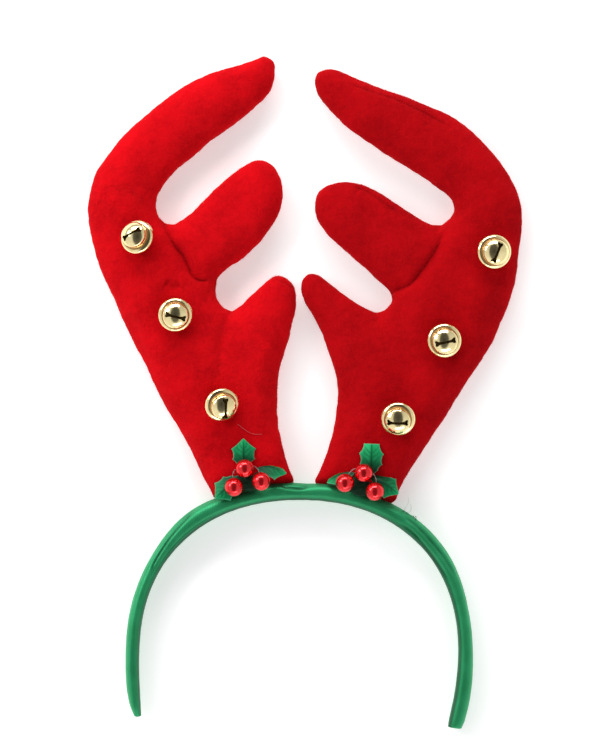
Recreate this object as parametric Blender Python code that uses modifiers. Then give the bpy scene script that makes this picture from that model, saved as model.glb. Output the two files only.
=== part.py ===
"""Reindeer antler headband: a padded band, two stuffed felt antlers, six jingle bells and two sprigs of holly.

It lies on its back. X runs across the band, Y up the antlers and Z out of the surface that it lies on.
The origin is on that surface, under the middle of the whole. Lengths are in metres.
"""

import math
from collections import namedtuple

import bmesh
import bpy
import numpy as np
from mathutils import Matrix, Vector
from mathutils.bvhtree import BVHTree
from mathutils.geometry import delaunay_2d_cdt

MM = 0.001

# Between two pieces that touch
CLEARANCE = 0.3 * MM

# Band, measured on the inside of the arch
HEAD_WIDTH = 141 * MM
ARCH_RISE = 68.5 * MM
ARCH_FULLNESS = 2.2
LEG_BEND_RADIUS = 93 * MM
LEFT_LEG_DROP = 25.5 * MM
RIGHT_LEG_DROP = 31.5 * MM
BAND_THICKNESS = 7.5 * MM
BAND_DEPTH = 13 * MM
BAND_FOLD_DEPTH = 1.2 * MM
BAND_STATION_SPACING = 7 * MM

# Antlers
SEAM_HEIGHT = 6.5 * MM
FRONT_PUFF = 8 * MM
BACK_PUFF = 9.5 * MM
PUFF_RADIUS = 13 * MM
EDGE_ROLL = 1.3 * MM
EDGE_SHOULDER = 4.2 * MM
PANEL_SPACING = 5 * MM
LEFT_SPREAD = 92.6 * MM
LEFT_RISE = 187.5 * MM
RIGHT_SPREAD = 97.7 * MM
RIGHT_RISE = 182 * MM
LEFT_BASE_INSIDE = 3 * MM
LEFT_BASE_OUTSIDE = 38.5 * MM
RIGHT_BASE_INSIDE = 6.5 * MM
RIGHT_BASE_OUTSIDE = 42 * MM
CREASE_WIDTH = 2.6 * MM

# Bells
BELL_DIAMETER = 15 * MM
BELL_BACK_HEIGHT = 5.6 * MM
BELL_FRONT_HEIGHT = 7.6 * MM
BELL_NECK_DIAMETER = 11.4 * MM
BELL_CUP_DIAMETER = 12.2 * MM
BELL_RIM_HEIGHT = 1.5 * MM
BELL_WALL = 0.5 * MM
BELL_STEPS = 16
SLOT_LENGTH = 9.6 * MM
SLOT_WIDTH = 1.1 * MM
SLOT_END_WIDTH = 3.2 * MM
LOOP_DIAMETER = 3.2 * MM
LOOP_WIRE = 0.8 * MM
DIMPLE_DEPTH = 3.2 * MM
DIMPLE_RADIUS = 8.5 * MM
PIT_DEPTH = 2.2 * MM
PIT_RADIUS = 2.6 * MM

# Holly
BERRY_DIAMETER = 8.1 * MM
LEAF_LENGTH = 14 * MM
LEAF_WIDTH = 11.4 * MM
LEAF_THICKNESS = 0.5 * MM
LEAF_ARCH = 1.8 * MM
LEAF_FOLD = 1.0 * MM
STEM_WIRE = 0.7 * MM
STEM_BOW = 1.6 * MM

# Sections of the band, from its left end to its right end. Thick, deep and fold are shares of the band's sizes,
# and inset moves the inner face out by that share of the thickness.
BandSection = namedtuple("BandSection", "along inset thick deep fold")
BAND_SECTIONS = (
    BandSection(0.000, 0.22, 0.32, 0.52, 0.0),
    BandSection(0.012, 0.12, 0.52, 0.80, 0.0),
    BandSection(0.035, 0.02, 0.72, 0.96, 0.0),
    BandSection(0.100, 0.00, 0.74, 1.00, 0.2),
    BandSection(0.200, 0.00, 0.80, 1.00, 0.6),
    BandSection(0.290, 0.00, 0.93, 1.00, 1.0),
    BandSection(0.400, 0.00, 0.97, 1.00, 0.3),
    BandSection(0.470, 0.00, 1.06, 1.00, 0.0),
    BandSection(0.500, 0.00, 0.97, 1.00, 0.0),
    BandSection(0.530, 0.00, 1.06, 1.00, 0.0),
    BandSection(0.600, 0.00, 0.97, 1.00, 0.3),
    BandSection(0.700, 0.00, 0.93, 1.00, 1.0),
    BandSection(0.800, 0.00, 0.87, 1.00, 0.8),
    BandSection(0.880, 0.00, 0.85, 1.00, 0.4),
    BandSection(0.960, 0.00, 0.93, 1.00, 0.0),
    BandSection(0.988, 0.03, 0.88, 0.94, 0.0),
    BandSection(1.000, 0.14, 0.66, 0.74, 0.0),
)

# The band's cross-section, round from the back of its inner face. Out and deep are shares of its thickness and
# depth, and sinks is the share of the fold's depth by which a point is drawn in.
RingPoint = namedtuple("RingPoint", "out deep sinks")
BAND_RING = (
    RingPoint(0.00, 0.16, 0.0),
    RingPoint(0.00, 0.84, 0.0),
    RingPoint(0.13, 0.96, 0.0),
    RingPoint(0.36, 1.00, 0.0),
    RingPoint(0.58, 0.98, 0.1),
    RingPoint(0.72, 0.94, 1.0),
    RingPoint(0.86, 0.86, 0.1),
    RingPoint(0.98, 0.68, 0.0),
    RingPoint(1.00, 0.42, 0.0),
    RingPoint(0.94, 0.14, 0.0),
    RingPoint(0.76, 0.00, 0.0),
    RingPoint(0.18, 0.00, 0.0),
)

# An antler's outline. Across is a share of its spread, from the headband's middle line outwards,
# and up a share of its rise, from the top of the band.
Place = namedtuple("Place", "across up")
LEFT_OUTER_EDGE = (
    Place(0.535, 0.090),
    Place(0.660, 0.195),
    Place(0.775, 0.315),
    Place(0.875, 0.425),
    Place(0.960, 0.535),
    Place(1.000, 0.645),
    Place(0.965, 0.725),
    Place(0.860, 0.800),
    Place(0.700, 0.875),
    Place(0.480, 0.950),
    Place(0.250, 0.987),
)
LEFT_BEAM_TIP = (
    Place(0.165, 1.000),
    Place(0.124, 0.972),
    Place(0.134, 0.925),
    Place(0.228, 0.876),
    Place(0.466, 0.782),
    Place(0.632, 0.708),
)
LEFT_UPPER_NOTCH = (
    Place(0.680, 0.658),
    Place(0.657, 0.622),
    Place(0.608, 0.608),
    Place(0.532, 0.631),
)
LEFT_MIDDLE_TINE = (
    Place(0.409, 0.688),
    Place(0.271, 0.744),
    Place(0.176, 0.754),
    Place(0.098, 0.722),
    Place(0.084, 0.660),
    Place(0.150, 0.595),
    Place(0.250, 0.537),
    Place(0.358, 0.500),
)
LEFT_LOWER_NOTCH = (
    Place(0.396, 0.466),
    Place(0.374, 0.425),
    Place(0.318, 0.410),
)
LEFT_LOWER_TINE = (
    Place(0.223, 0.444),
    Place(0.133, 0.481),
    Place(0.074, 0.488),
    Place(0.014, 0.462),
    Place(0.006, 0.424),
    Place(0.040, 0.346),
    Place(0.085, 0.268),
    Place(0.095, 0.200),
    Place(0.090, 0.120),
    Place(0.058, 0.050),
)
RIGHT_OUTER_EDGE = (
    Place(0.515, 0.048),
    Place(0.622, 0.130),
    Place(0.762, 0.245),
    Place(0.888, 0.362),
    Place(0.965, 0.476),
    Place(0.991, 0.590),
    Place(1.000, 0.655),
    Place(0.955, 0.730),
    Place(0.855, 0.807),
    Place(0.685, 0.885),
    Place(0.345, 0.960),
    Place(0.145, 1.000),
)
RIGHT_BEAM_TIP = (
    Place(0.085, 0.990),
    Place(0.084, 0.945),
    Place(0.135, 0.903),
    Place(0.255, 0.845),
    Place(0.470, 0.768),
    Place(0.632, 0.710),
)
RIGHT_UPPER_NOTCH = (
    Place(0.690, 0.680),
    Place(0.685, 0.651),
    Place(0.625, 0.627),
    Place(0.540, 0.641),
)
RIGHT_MIDDLE_TINE = (
    Place(0.410, 0.690),
    Place(0.285, 0.728),
    Place(0.170, 0.732),
    Place(0.086, 0.709),
    Place(0.070, 0.660),
    Place(0.116, 0.612),
    Place(0.230, 0.555),
    Place(0.342, 0.497),
)
RIGHT_LOWER_NOTCH = (
    Place(0.404, 0.468),
    Place(0.402, 0.434),
    Place(0.352, 0.416),
)
RIGHT_LOWER_TINE = (
    Place(0.262, 0.436),
    Place(0.150, 0.475),
    Place(0.062, 0.505),
    Place(0.004, 0.490),
    Place(0.000, 0.455),
    Place(0.060, 0.398),
    Place(0.122, 0.322),
    Place(0.158, 0.245),
    Place(0.160, 0.175),
    Place(0.133, 0.095),
    Place(0.094, 0.033),
)

# Creases in the felt's front, each a smooth line through a few places
Crease = namedtuple("Crease", "depth places")
LEFT_CREASES = (
    Crease(1.9 * MM, (Place(0.640, 0.604), Place(0.574, 0.546), Place(0.503, 0.493), Place(0.405, 0.480))),
    Crease(0.9 * MM, (Place(0.330, 0.395), Place(0.366, 0.330), Place(0.370, 0.245))),
)
RIGHT_CREASES = (
    Crease(1.6 * MM, (Place(0.655, 0.615), Place(0.606, 0.553), Place(0.535, 0.500), Place(0.420, 0.462))),
)

# Bells: where each is sewn on, which way and how far it leans, and how its slot is turned
BellSeat = namedtuple("BellSeat", "name across up lean_towards lean slot_turn")
LEFT_BELLS = (
    BellSeat("upper", 0.770, 0.577, 162, 24, 28),
    BellSeat("middle", 0.584, 0.394, -78, 10, -14),
    BellSeat("lower", 0.366, 0.183, -49, 25, 90),
)
RIGHT_BELLS = (
    BellSeat("upper", 0.881, 0.559, -24, 14, 68),
    BellSeat("middle", 0.658, 0.344, -48, 16, 12),
    BellSeat("lower", 0.446, 0.152, -99, 19, -1),
)

# Half of the bell's outer profile, from its front pole to its back pole. Radius names the diameter that it is
# a share of, and height is a share of the front's or the back's height.
BellPoint = namedtuple("BellPoint", "radius of height")
BELL_PROFILE = (
    BellPoint(0.00, "cup", 1.00),
    BellPoint(0.52, "cup", 0.95),
    BellPoint(0.86, "cup", 0.74),
    BellPoint(1.00, "cup", 0.44),
    BellPoint(1.00, "neck", 0.12),
    BellPoint(0.93, "rim", 0.11),
    BellPoint(1.00, "rim", 0.00),
    BellPoint(0.94, "rim", -0.16),
    BellPoint(0.76, "rim", -0.62),
    BellPoint(0.42, "rim", -0.93),
    BellPoint(0.00, "rim", -1.00),
)

# Holly leaf: half-widths as shares of half the leaf's width. A spine and a hollow take turns.
LeafSection = namedtuple("LeafSection", "along half_width")
LEAF_SECTIONS = (
    LeafSection(0.00, 0.14),
    LeafSection(0.16, 0.40),
    LeafSection(0.34, 0.84),
    LeafSection(0.50, 0.56),
    LeafSection(0.70, 1.00),
    LeafSection(0.86, 0.50),
)
POINTED_TIP = 0.05
BLUNT_TIP = 0.62

# Sprigs: places from the sprig's middle as shares of a berry's diameter, directions in degrees from +X
Sprig = namedtuple("Sprig", "side x y berries leaves stems")
Berry = namedtuple("Berry", "name x y")
Leaf = namedtuple("Leaf", "name x y turn roll tip")
Stem = namedtuple("Stem", "name lower bows")
SPRIGS = (
    Sprig(
        "left",
        -23 * MM,
        6.5 * MM,
        (Berry("top", -0.12, 0.46), Berry("outer", -0.70, -0.55), Berry("inner", 0.77, -0.24)),
        (
            Leaf("top", -0.16, 0.40, 91, 0, POINTED_TIP),
            Leaf("outer", -0.40, -0.12, 222, 12, POINTED_TIP),
            Leaf("inner", 0.42, 0.12, -2, -14, POINTED_TIP),
        ),
        (Stem("outer", "outer", 1), Stem("inner", "inner", -1)),
    ),
    Sprig(
        "right",
        27 * MM,
        3.8 * MM,
        (Berry("top", 0.14, 0.50), Berry("inner", -0.88, -0.04), Berry("outer", 0.74, -0.50)),
        (
            Leaf("top", 0.52, 0.58, 88, 0, BLUNT_TIP),
            Leaf("inner", -0.22, 0.34, 197, 14, POINTED_TIP),
            Leaf("outer", 0.56, 0.16, -33, -12, POINTED_TIP),
        ),
        (Stem("inner", "inner", 1), Stem("outer", "outer", -1)),
    ),
)


# Scene, materials and placing


def clear_scene():
    for obj in list(bpy.data.objects):
        bpy.data.objects.remove(obj, do_unlink=True)


def collection(name, hidden=False):
    made = bpy.data.collections.new(name)
    bpy.context.scene.collection.children.link(made)
    made.hide_render = hidden
    return made


def material(name, colour, roughness, metallic=0.0):
    made = bpy.data.materials.new(name)
    made.use_nodes = True
    shader = made.node_tree.nodes["Principled BSDF"]
    shader.inputs["Base Color"].default_value = (*colour, 1.0)
    shader.inputs["Roughness"].default_value = roughness
    shader.inputs["Metallic"].default_value = metallic
    return made


def object_of(name, mesh, group, look=None):
    obj = bpy.data.objects.new(name, mesh)
    group.objects.link(obj)
    if look is not None:
        mesh.materials.clear()
        mesh.materials.append(look)
    return obj


def helper(obj):
    """Marks a cutter or a guide, which isn't part of the object."""
    obj.hide_render = True
    obj.display_type = "WIRE"
    return obj


def mesh_of(obj):
    """The object's mesh with its modifiers applied, in the object's own frame, with loose caps welded."""
    graph = bpy.context.evaluated_depsgraph_get()
    mesh = bpy.data.meshes.new_from_object(obj.evaluated_get(graph))
    shape = bmesh.new()
    shape.from_mesh(mesh)
    bmesh.ops.remove_doubles(shape, verts=shape.verts, dist=0.001 * MM)
    bmesh.ops.recalc_face_normals(shape, faces=shape.faces)
    shape.to_mesh(mesh)
    shape.free()
    return mesh


def joined(obj, other, operation):
    """Adds a Boolean modifier that joins or cuts obj with other."""
    modifier = obj.modifiers.new(operation.title(), "BOOLEAN")
    modifier.operation = operation
    modifier.object = other
    modifier.solver = "EXACT"


def smooth_shaded(mesh, angle=40):
    mesh.shade_smooth()
    mesh.set_sharp_from_angle(angle=math.radians(angle))


def world_tree(obj):
    bpy.context.view_layer.update()
    graph = bpy.context.evaluated_depsgraph_get()
    evaluated = obj.evaluated_get(graph)
    mesh = evaluated.to_mesh()
    points = [evaluated.matrix_world @ v.co for v in mesh.vertices]
    faces = [tuple(p.vertices) for p in mesh.polygons]
    evaluated.to_mesh_clear()
    return points, BVHTree.FromPolygons(points, faces)


def lower_onto(obj, supports):
    """Moves obj straight down until it is CLEARANCE above the first support that it meets."""
    up, down, high = Vector((0, 0, 1)), Vector((0, 0, -1)), Vector((0, 0, 1))
    obj.location += high
    points, tree = world_tree(obj)
    gaps = []
    for support in supports:
        support_points, support_tree = world_tree(support)
        gaps += [hit[3] for hit in (support_tree.ray_cast(p, down) for p in points) if hit[0]]
        gaps += [hit[3] for hit in (tree.ray_cast(p, up) for p in support_points) if hit[0]]
    obj.location += down * (min(gaps) - CLEARANCE)
    bpy.context.view_layer.update()


# Curves and outlines


def smooth_path(points, steps=10):
    """A centripetal Catmull-Rom curve through the points of an open path."""
    p = np.array(points, float)
    p = np.vstack([2 * p[0] - p[1], p, 2 * p[-1] - p[-2]])
    out = []
    for a, b, c, d in zip(p[:-3], p[1:-2], p[2:-1], p[3:]):
        t0 = 0.0
        t1 = t0 + math.sqrt(np.linalg.norm(b - a))
        t2 = t1 + math.sqrt(np.linalg.norm(c - b))
        t3 = t2 + math.sqrt(np.linalg.norm(d - c))
        t = np.linspace(t1, t2, steps, endpoint=False)[:, None]
        ab = (t1 - t) / (t1 - t0) * a + (t - t0) / (t1 - t0) * b
        bc = (t2 - t) / (t2 - t1) * b + (t - t1) / (t2 - t1) * c
        cd = (t3 - t) / (t3 - t2) * c + (t - t2) / (t3 - t2) * d
        abc = (t2 - t) / (t2 - t0) * ab + (t - t0) / (t2 - t0) * bc
        bcd = (t3 - t) / (t3 - t1) * bc + (t - t1) / (t3 - t1) * cd
        out.append((t2 - t) / (t2 - t1) * abc + (t - t1) / (t2 - t1) * bcd)
    return np.vstack([*out, p[-2][None]])


def lengths_along(path):
    return np.concatenate([[0.0], np.cumsum(np.linalg.norm(np.diff(path, axis=0), axis=1))])


def spaced(path, spacing):
    """The path again, with points evenly about spacing apart."""
    along = lengths_along(path)
    at = np.linspace(0, along[-1], max(2, round(along[-1] / spacing) + 1))
    return np.stack([np.interp(at, along, path[:, k]) for k in range(path.shape[1])], axis=1)


def left_of(path):
    """Unit normals to the left of a path's direction of travel."""
    ahead = np.gradient(path, axis=0)
    ahead /= np.linalg.norm(ahead, axis=1)[:, None]
    return np.stack([-ahead[:, 1], ahead[:, 0]], axis=1)


def distance_to(points, path):
    return np.linalg.norm(points[:, None] - path[None], axis=2).min(axis=1)


def apart(points, spacing):
    """The points again, without those that come closer than spacing to one kept before them."""
    kept = [points[0]]
    for point in points[1:]:
        if np.linalg.norm(np.array(kept) - point, axis=1).min() >= spacing:
            kept.append(point)
    return np.array(kept)


def inside(points, loop):
    x, y = points[:, 0][:, None], points[:, 1][:, None]
    ax, ay = loop[:, 0][None], loop[:, 1][None]
    bx, by = np.roll(loop[:, 0], -1)[None], np.roll(loop[:, 1], -1)[None]
    crosses = (ay > y) != (by > y)
    rise = np.where(by == ay, 1.0, by - ay)
    return (crosses & (x < ax + (y - ay) * (bx - ax) / rise)).sum(axis=1) % 2 == 1


# Band


def head_line(spacing):
    """The inner edge of the band, from its left end over the crown to its right end."""
    half = HEAD_WIDTH / 2
    crown = -BAND_THICKNESS / 2
    widest = crown - ARCH_RISE
    left_drop = np.linspace(LEFT_LEG_DROP, 0, 40, endpoint=False)
    right_drop = np.linspace(0, RIGHT_LEG_DROP, 40)[1:]
    turn = np.linspace(math.pi, 0, 240)
    power = 2 / ARCH_FULLNESS
    arch_x = half * np.sign(np.cos(turn)) * np.abs(np.cos(turn)) ** power
    arch_y = widest + ARCH_RISE * np.abs(np.sin(turn)) ** power

    def bent_in(drop):
        return half - (LEG_BEND_RADIUS - np.sqrt(LEG_BEND_RADIUS**2 - drop**2))

    x = np.concatenate([-bent_in(left_drop), arch_x, bent_in(right_drop)])
    y = np.concatenate([widest - left_drop, arch_y, widest - right_drop])
    return spaced(np.stack([x, y], axis=1), spacing)


def section_values(along, column):
    return np.interp(along, [s.along for s in BAND_SECTIONS], [getattr(s, column) for s in BAND_SECTIONS])


def band_outer_edge():
    """The outer edge of the band in plan, which the antlers stand on."""
    line = head_line(0.5 * MM)
    along = lengths_along(line)
    thick = section_values(along / along[-1], "thick")
    return line + left_of(line) * (BAND_THICKNESS * thick)[:, None]


def band_stations():
    """Shares along the band: evenly spaced ones, and those of the sections near its ends."""
    count = round(lengths_along(head_line(MM))[-1] / BAND_STATION_SPACING)
    even = np.linspace(0, 1, count + 1)
    ends = [s.along for s in BAND_SECTIONS if min(s.along, 1 - s.along) < 1 / count]
    near = 0.4 / count
    kept = [s for s in even if min(abs(s - e) for e in ends) > near]
    return np.array(sorted(kept + ends))


def build_band(group, look):
    line = head_line(0.5 * MM)
    outwards = left_of(line)
    along = lengths_along(line) / lengths_along(line)[-1]
    shape = bmesh.new()
    rings = []
    for share in band_stations():
        foot = np.array([np.interp(share, along, line[:, k]) for k in range(2)])
        out = np.array([np.interp(share, along, outwards[:, k]) for k in range(2)])
        inset, thick, deep, fold = (section_values(share, c) for c in ("inset", "thick", "deep", "fold"))
        ring = []
        for point in BAND_RING:
            sunk = point.sinks * fold * BAND_FOLD_DEPTH
            reach = BAND_THICKNESS * (inset + thick * point.out) - sunk * 0.5
            height = BAND_DEPTH * (0.5 + (point.deep - 0.5) * deep) - sunk
            ring.append(shape.verts.new((*(foot + out * reach), height)))
        rings.append(ring)
    for ring, following in zip(rings, rings[1:]):
        for k in range(len(ring)):
            after = (k + 1) % len(ring)
            shape.faces.new((ring[k], ring[after], following[after], following[k]))
    shape.faces.new(rings[0])
    shape.faces.new(reversed(rings[-1]))
    bmesh.ops.recalc_face_normals(shape, faces=shape.faces)
    mesh = bpy.data.meshes.new("band")
    shape.to_mesh(mesh)
    shape.free()
    smooth_shaded(mesh, 60)
    return object_of("band", mesh, group, look)


# Antlers


Antler = namedtuple("Antler", "name side spread rise base_inside base_outside stretches creases bells")
ANTLERS = (
    Antler(
        "left",
        -1,
        LEFT_SPREAD,
        LEFT_RISE,
        LEFT_BASE_INSIDE,
        LEFT_BASE_OUTSIDE,
        (
            LEFT_OUTER_EDGE,
            LEFT_BEAM_TIP,
            LEFT_UPPER_NOTCH,
            LEFT_MIDDLE_TINE,
            LEFT_LOWER_NOTCH,
            LEFT_LOWER_TINE,
        ),
        LEFT_CREASES,
        LEFT_BELLS,
    ),
    Antler(
        "right",
        1,
        RIGHT_SPREAD,
        RIGHT_RISE,
        RIGHT_BASE_INSIDE,
        RIGHT_BASE_OUTSIDE,
        (
            RIGHT_OUTER_EDGE,
            RIGHT_BEAM_TIP,
            RIGHT_UPPER_NOTCH,
            RIGHT_MIDDLE_TINE,
            RIGHT_LOWER_NOTCH,
            RIGHT_LOWER_TINE,
        ),
        RIGHT_CREASES,
        RIGHT_BELLS,
    ),
)


def placed(antler, place):
    """A place of an antler as a point in plan."""
    return np.array(
        [antler.side * place.across * antler.spread, BAND_THICKNESS / 2 + place.up * antler.rise]
    )


def base_edge(antler):
    """The antler's lower edge, from its inner corner to its outer one, along the band's outer edge."""
    edge = band_outer_edge()
    edge = edge + left_of(edge) * CLEARANCE
    across = edge[:, 0] * antler.side
    under = (across >= antler.base_inside) & (across <= antler.base_outside) & (edge[:, 1] > -ARCH_RISE)
    base = edge[under]
    return base[np.argsort(base[:, 0] * antler.side)]


def antler_loop(antler, spacing):
    """The antler's closed outline, with points about spacing apart."""
    base = base_edge(antler)
    places = [placed(antler, place) for stretch in antler.stretches for place in stretch]
    edge = smooth_path([base[-1], *places, base[0]])
    return np.vstack([spaced(edge, spacing)[:-1], spaced(base, spacing)[:-1]])


def depth_inside(points, loop):
    """How far each point lies inside the loop, as a smooth measure that has no ridge halfway between two edges.

    It is the radius that a straight edge would give for the same sum of 1 / distance^4 round the loop.
    """
    closed = np.vstack([loop, loop[:1]])
    step = np.linalg.norm(np.diff(closed, axis=0), axis=1)
    middle = (closed[1:] + closed[:-1]) / 2
    total = np.zeros(len(points))
    for k in range(len(middle)):
        total += step[k] / np.maximum(((points - middle[k]) ** 2).sum(axis=1), (0.1 * MM) ** 2) ** 2
    return ((math.pi / 2) / total) ** (1 / 3)


def puff(depth):
    """The share of its full height that the stuffing reaches at that depth inside the edge."""
    rest = np.clip(1 - depth / PUFF_RADIUS, 0, 1)
    return np.sqrt(1 - rest**2)


def lean_direction(seat):
    towards = math.radians(seat.lean_towards)
    return np.array([math.cos(towards), math.sin(towards)])


def sewn_at(antler, seat):
    """Where a leaning bell's loop meets the felt, which is behind the bell and not under its middle."""
    reach = (BELL_BACK_HEIGHT + LOOP_DIAMETER / 2) * math.sin(math.radians(seat.lean))
    return placed(antler, seat) - lean_direction(seat) * reach


def crease_line(antler, crease):
    return spaced(smooth_path([placed(antler, p) for p in crease.places]), 1 * MM)


def sunk(points, antler):
    """How far the front of the felt is drawn in: dimples and pits under the bells, and creases."""
    total = np.zeros(len(points))
    for bell in antler.bells:
        away = np.linalg.norm(points - sewn_at(antler, bell), axis=1)
        total += DIMPLE_DEPTH * np.exp(-((away / DIMPLE_RADIUS) ** 2))
        total += PIT_DEPTH * np.clip(1.5 - away / PIT_RADIUS, 0, 1)
    for crease in antler.creases:
        away = distance_to(points, crease_line(antler, crease))
        total += crease.depth * np.exp(-((away / CREASE_WIDTH) ** 2))
    return total


def bell_guides(antler):
    """Points on circles round each bell's seat, where the pit and the dimple bend the felt."""
    rings = ((0.0, 1), (0.5 * PIT_RADIUS, 5), (1.5 * PIT_RADIUS, 8), (0.9 * DIMPLE_RADIUS, 11))
    out = []
    for bell in antler.bells:
        for radius, count in rings:
            for k in range(count):
                turn = 2 * math.pi * k / count
                out.append(sewn_at(antler, bell) + radius * np.array([math.cos(turn), math.sin(turn)]))
    return np.array(out)


def crease_guides(antler):
    """Points along each crease and beside it."""
    out = []
    for crease in antler.creases:
        line = spaced(crease_line(antler, crease), PANEL_SPACING)
        beside = left_of(line) * 1.5 * CREASE_WIDTH
        out += [line, line + beside, line - beside]
    return np.vstack(out)


def panel_points(antler, loop, fine_loop):
    """Points inside the outline: two rings near its edge, guides for bells and creases, and a regular filling."""
    inwards = left_of(np.vstack([loop[-1:], loop, loop[:1]]))[1:-1] * antler.side
    between = (loop + np.roll(loop, -1, axis=0)) / 2
    ring = loop + inwards * EDGE_ROLL
    shoulder = between + inwards * EDGE_SHOULDER
    ring = ring[inside(ring, loop) & (distance_to(ring, fine_loop) > 0.7 * EDGE_ROLL)]
    shoulder = shoulder[inside(shoulder, loop) & (distance_to(shoulder, fine_loop) > 0.9 * EDGE_SHOULDER)]
    ring = np.vstack([ring, apart(shoulder, 0.5 * PANEL_SPACING)])
    guides = np.vstack([bell_guides(antler), crease_guides(antler)])
    guides = guides[inside(guides, loop) & (distance_to(guides, fine_loop) > 1.6 * EDGE_ROLL)]
    ring = ring[distance_to(ring, guides) > 0.4 * PANEL_SPACING]
    low, high = loop.min(axis=0), loop.max(axis=0)
    rows = np.arange(low[1], high[1], PANEL_SPACING * math.sqrt(0.75))
    grid = []
    for k, y in enumerate(rows):
        columns = np.arange(low[0] + (k % 2) * PANEL_SPACING / 2, high[0], PANEL_SPACING)
        grid.append(np.stack([columns, np.full(len(columns), y)], axis=1))
    grid = np.vstack(grid)
    grid = grid[inside(grid, loop)]
    grid = grid[distance_to(grid, fine_loop) > 0.7 * PANEL_SPACING]
    grid = grid[distance_to(grid, np.vstack([ring, guides])) > 0.7 * PANEL_SPACING]
    return np.vstack([ring, guides, grid])


def build_antler(antler, group, look):
    """Two felt panels over stuffing, joined at a seam. The back is flattened where it rests."""
    loop = antler_loop(antler, 0.85 * PANEL_SPACING)
    fine_loop = antler_loop(antler, 0.5 * MM)
    rim = [Vector(p) for p in loop]
    filling = [Vector(p) for p in panel_points(antler, loop, fine_loop)]
    outline = list(range(len(rim)))
    points, _, triangles, _, _, _ = delaunay_2d_cdt(rim + filling, [], [outline], 1, 1e-7)
    plan = np.array([tuple(p) for p in points])
    on_rim = distance_to(plan, loop) < 0.01 * MM
    rise = puff(depth_inside(plan, fine_loop))
    front = np.where(on_rim, SEAM_HEIGHT, SEAM_HEIGHT + FRONT_PUFF * rise - sunk(plan, antler))
    back = np.where(on_rim, SEAM_HEIGHT, np.maximum(0, SEAM_HEIGHT - BACK_PUFF * rise))
    shape = bmesh.new()
    front_verts = [shape.verts.new((*p, z)) for p, z in zip(plan, front)]
    back_verts = [v if r else shape.verts.new((*p, z)) for v, r, p, z in zip(front_verts, on_rim, plan, back)]
    for triangle in triangles:
        shape.faces.new([front_verts[k] for k in triangle])
        shape.faces.new([back_verts[k] for k in reversed(triangle)])
    bmesh.ops.recalc_face_normals(shape, faces=shape.faces)
    mesh = bpy.data.meshes.new("antler")
    shape.to_mesh(mesh)
    shape.free()
    smooth_shaded(mesh, 80)
    return object_of("antler_" + antler.name, mesh, group, look)


# Bells


def bell_profile():
    """The outer profile as (radius, height) pairs, from the front pole to the back pole."""
    radii = {"cup": BELL_CUP_DIAMETER / 2, "neck": BELL_NECK_DIAMETER / 2, "rim": BELL_DIAMETER / 2}
    out = []
    for point in BELL_PROFILE:
        height = BELL_FRONT_HEIGHT if point.height > 0 else BELL_BACK_HEIGHT
        out.append((point.radius * radii[point.of], point.height * height))
    return out


def cavity_profile():
    """The inside of the bell: clear of the outer profile by the wall, with no rim."""
    front = BELL_FRONT_HEIGHT - BELL_WALL
    back = BELL_BACK_HEIGHT - BELL_WALL
    cup = BELL_CUP_DIAMETER / 2 - BELL_WALL
    neck = BELL_NECK_DIAMETER / 2 - BELL_WALL
    return [
        (0, front),
        (0.50 * cup, 0.94 * front),
        (0.86 * cup, 0.70 * front),
        (cup, 0.42 * front),
        (neck, 0.0),
        (0.82 * neck, -0.60 * back),
        (0, -back),
    ]


def turned(name, profile, group):
    """A closed body turned about Z from a profile that runs from the top to the bottom."""
    shape = bmesh.new()
    verts = [shape.verts.new((radius, 0, height)) for radius, height in profile]
    edges = [shape.edges.new(pair) for pair in zip(verts, verts[1:])]
    bmesh.ops.spin(
        shape,
        geom=verts + edges,
        cent=(0, 0, 0),
        axis=(0, 0, 1),
        angle=2 * math.pi,
        steps=BELL_STEPS,
    )
    bmesh.ops.remove_doubles(shape, verts=shape.verts, dist=0.001 * MM)
    bmesh.ops.recalc_face_normals(shape, faces=shape.faces)
    mesh = bpy.data.meshes.new(name)
    shape.to_mesh(mesh)
    shape.free()
    return helper(object_of(name, mesh, group))


def slot_cutter(group):
    """A dog-bone slot: a narrow cut with a wider, forked hole at each end."""
    half, end = SLOT_LENGTH / 2, SLOT_END_WIDTH / 2
    narrow = SLOT_WIDTH / 2
    quarter = [
        (half - 1.15 * end, narrow),
        (half - 0.45 * end, end),
        (half, 0.72 * end),
        (half - 0.2 * end, 0),
    ]
    upper = quarter[::-1] + [(-x, y) for x, y in quarter]
    lower = [(x, -y) for x, y in reversed(upper) if y > 0]
    curve = bpy.data.curves.new("slot", "CURVE")
    curve.dimensions = "2D"
    curve.fill_mode = "BOTH"
    curve.extrude = BELL_FRONT_HEIGHT / 2
    spline = curve.splines.new("POLY")
    outline = upper + lower
    spline.points.add(len(outline) - 1)
    for point, (x, y) in zip(spline.points, outline):
        point.co = (x, y, 0, 1)
    spline.use_cyclic_u = True
    flat = object_of("slot_outline", curve, group)
    bpy.context.view_layer.update()
    cutter = helper(object_of("slot_cutter", mesh_of(flat), group))
    bpy.data.objects.remove(flat)
    cutter.location.z = 0.45 * BELL_FRONT_HEIGHT + BELL_FRONT_HEIGHT / 2
    return cutter


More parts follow.
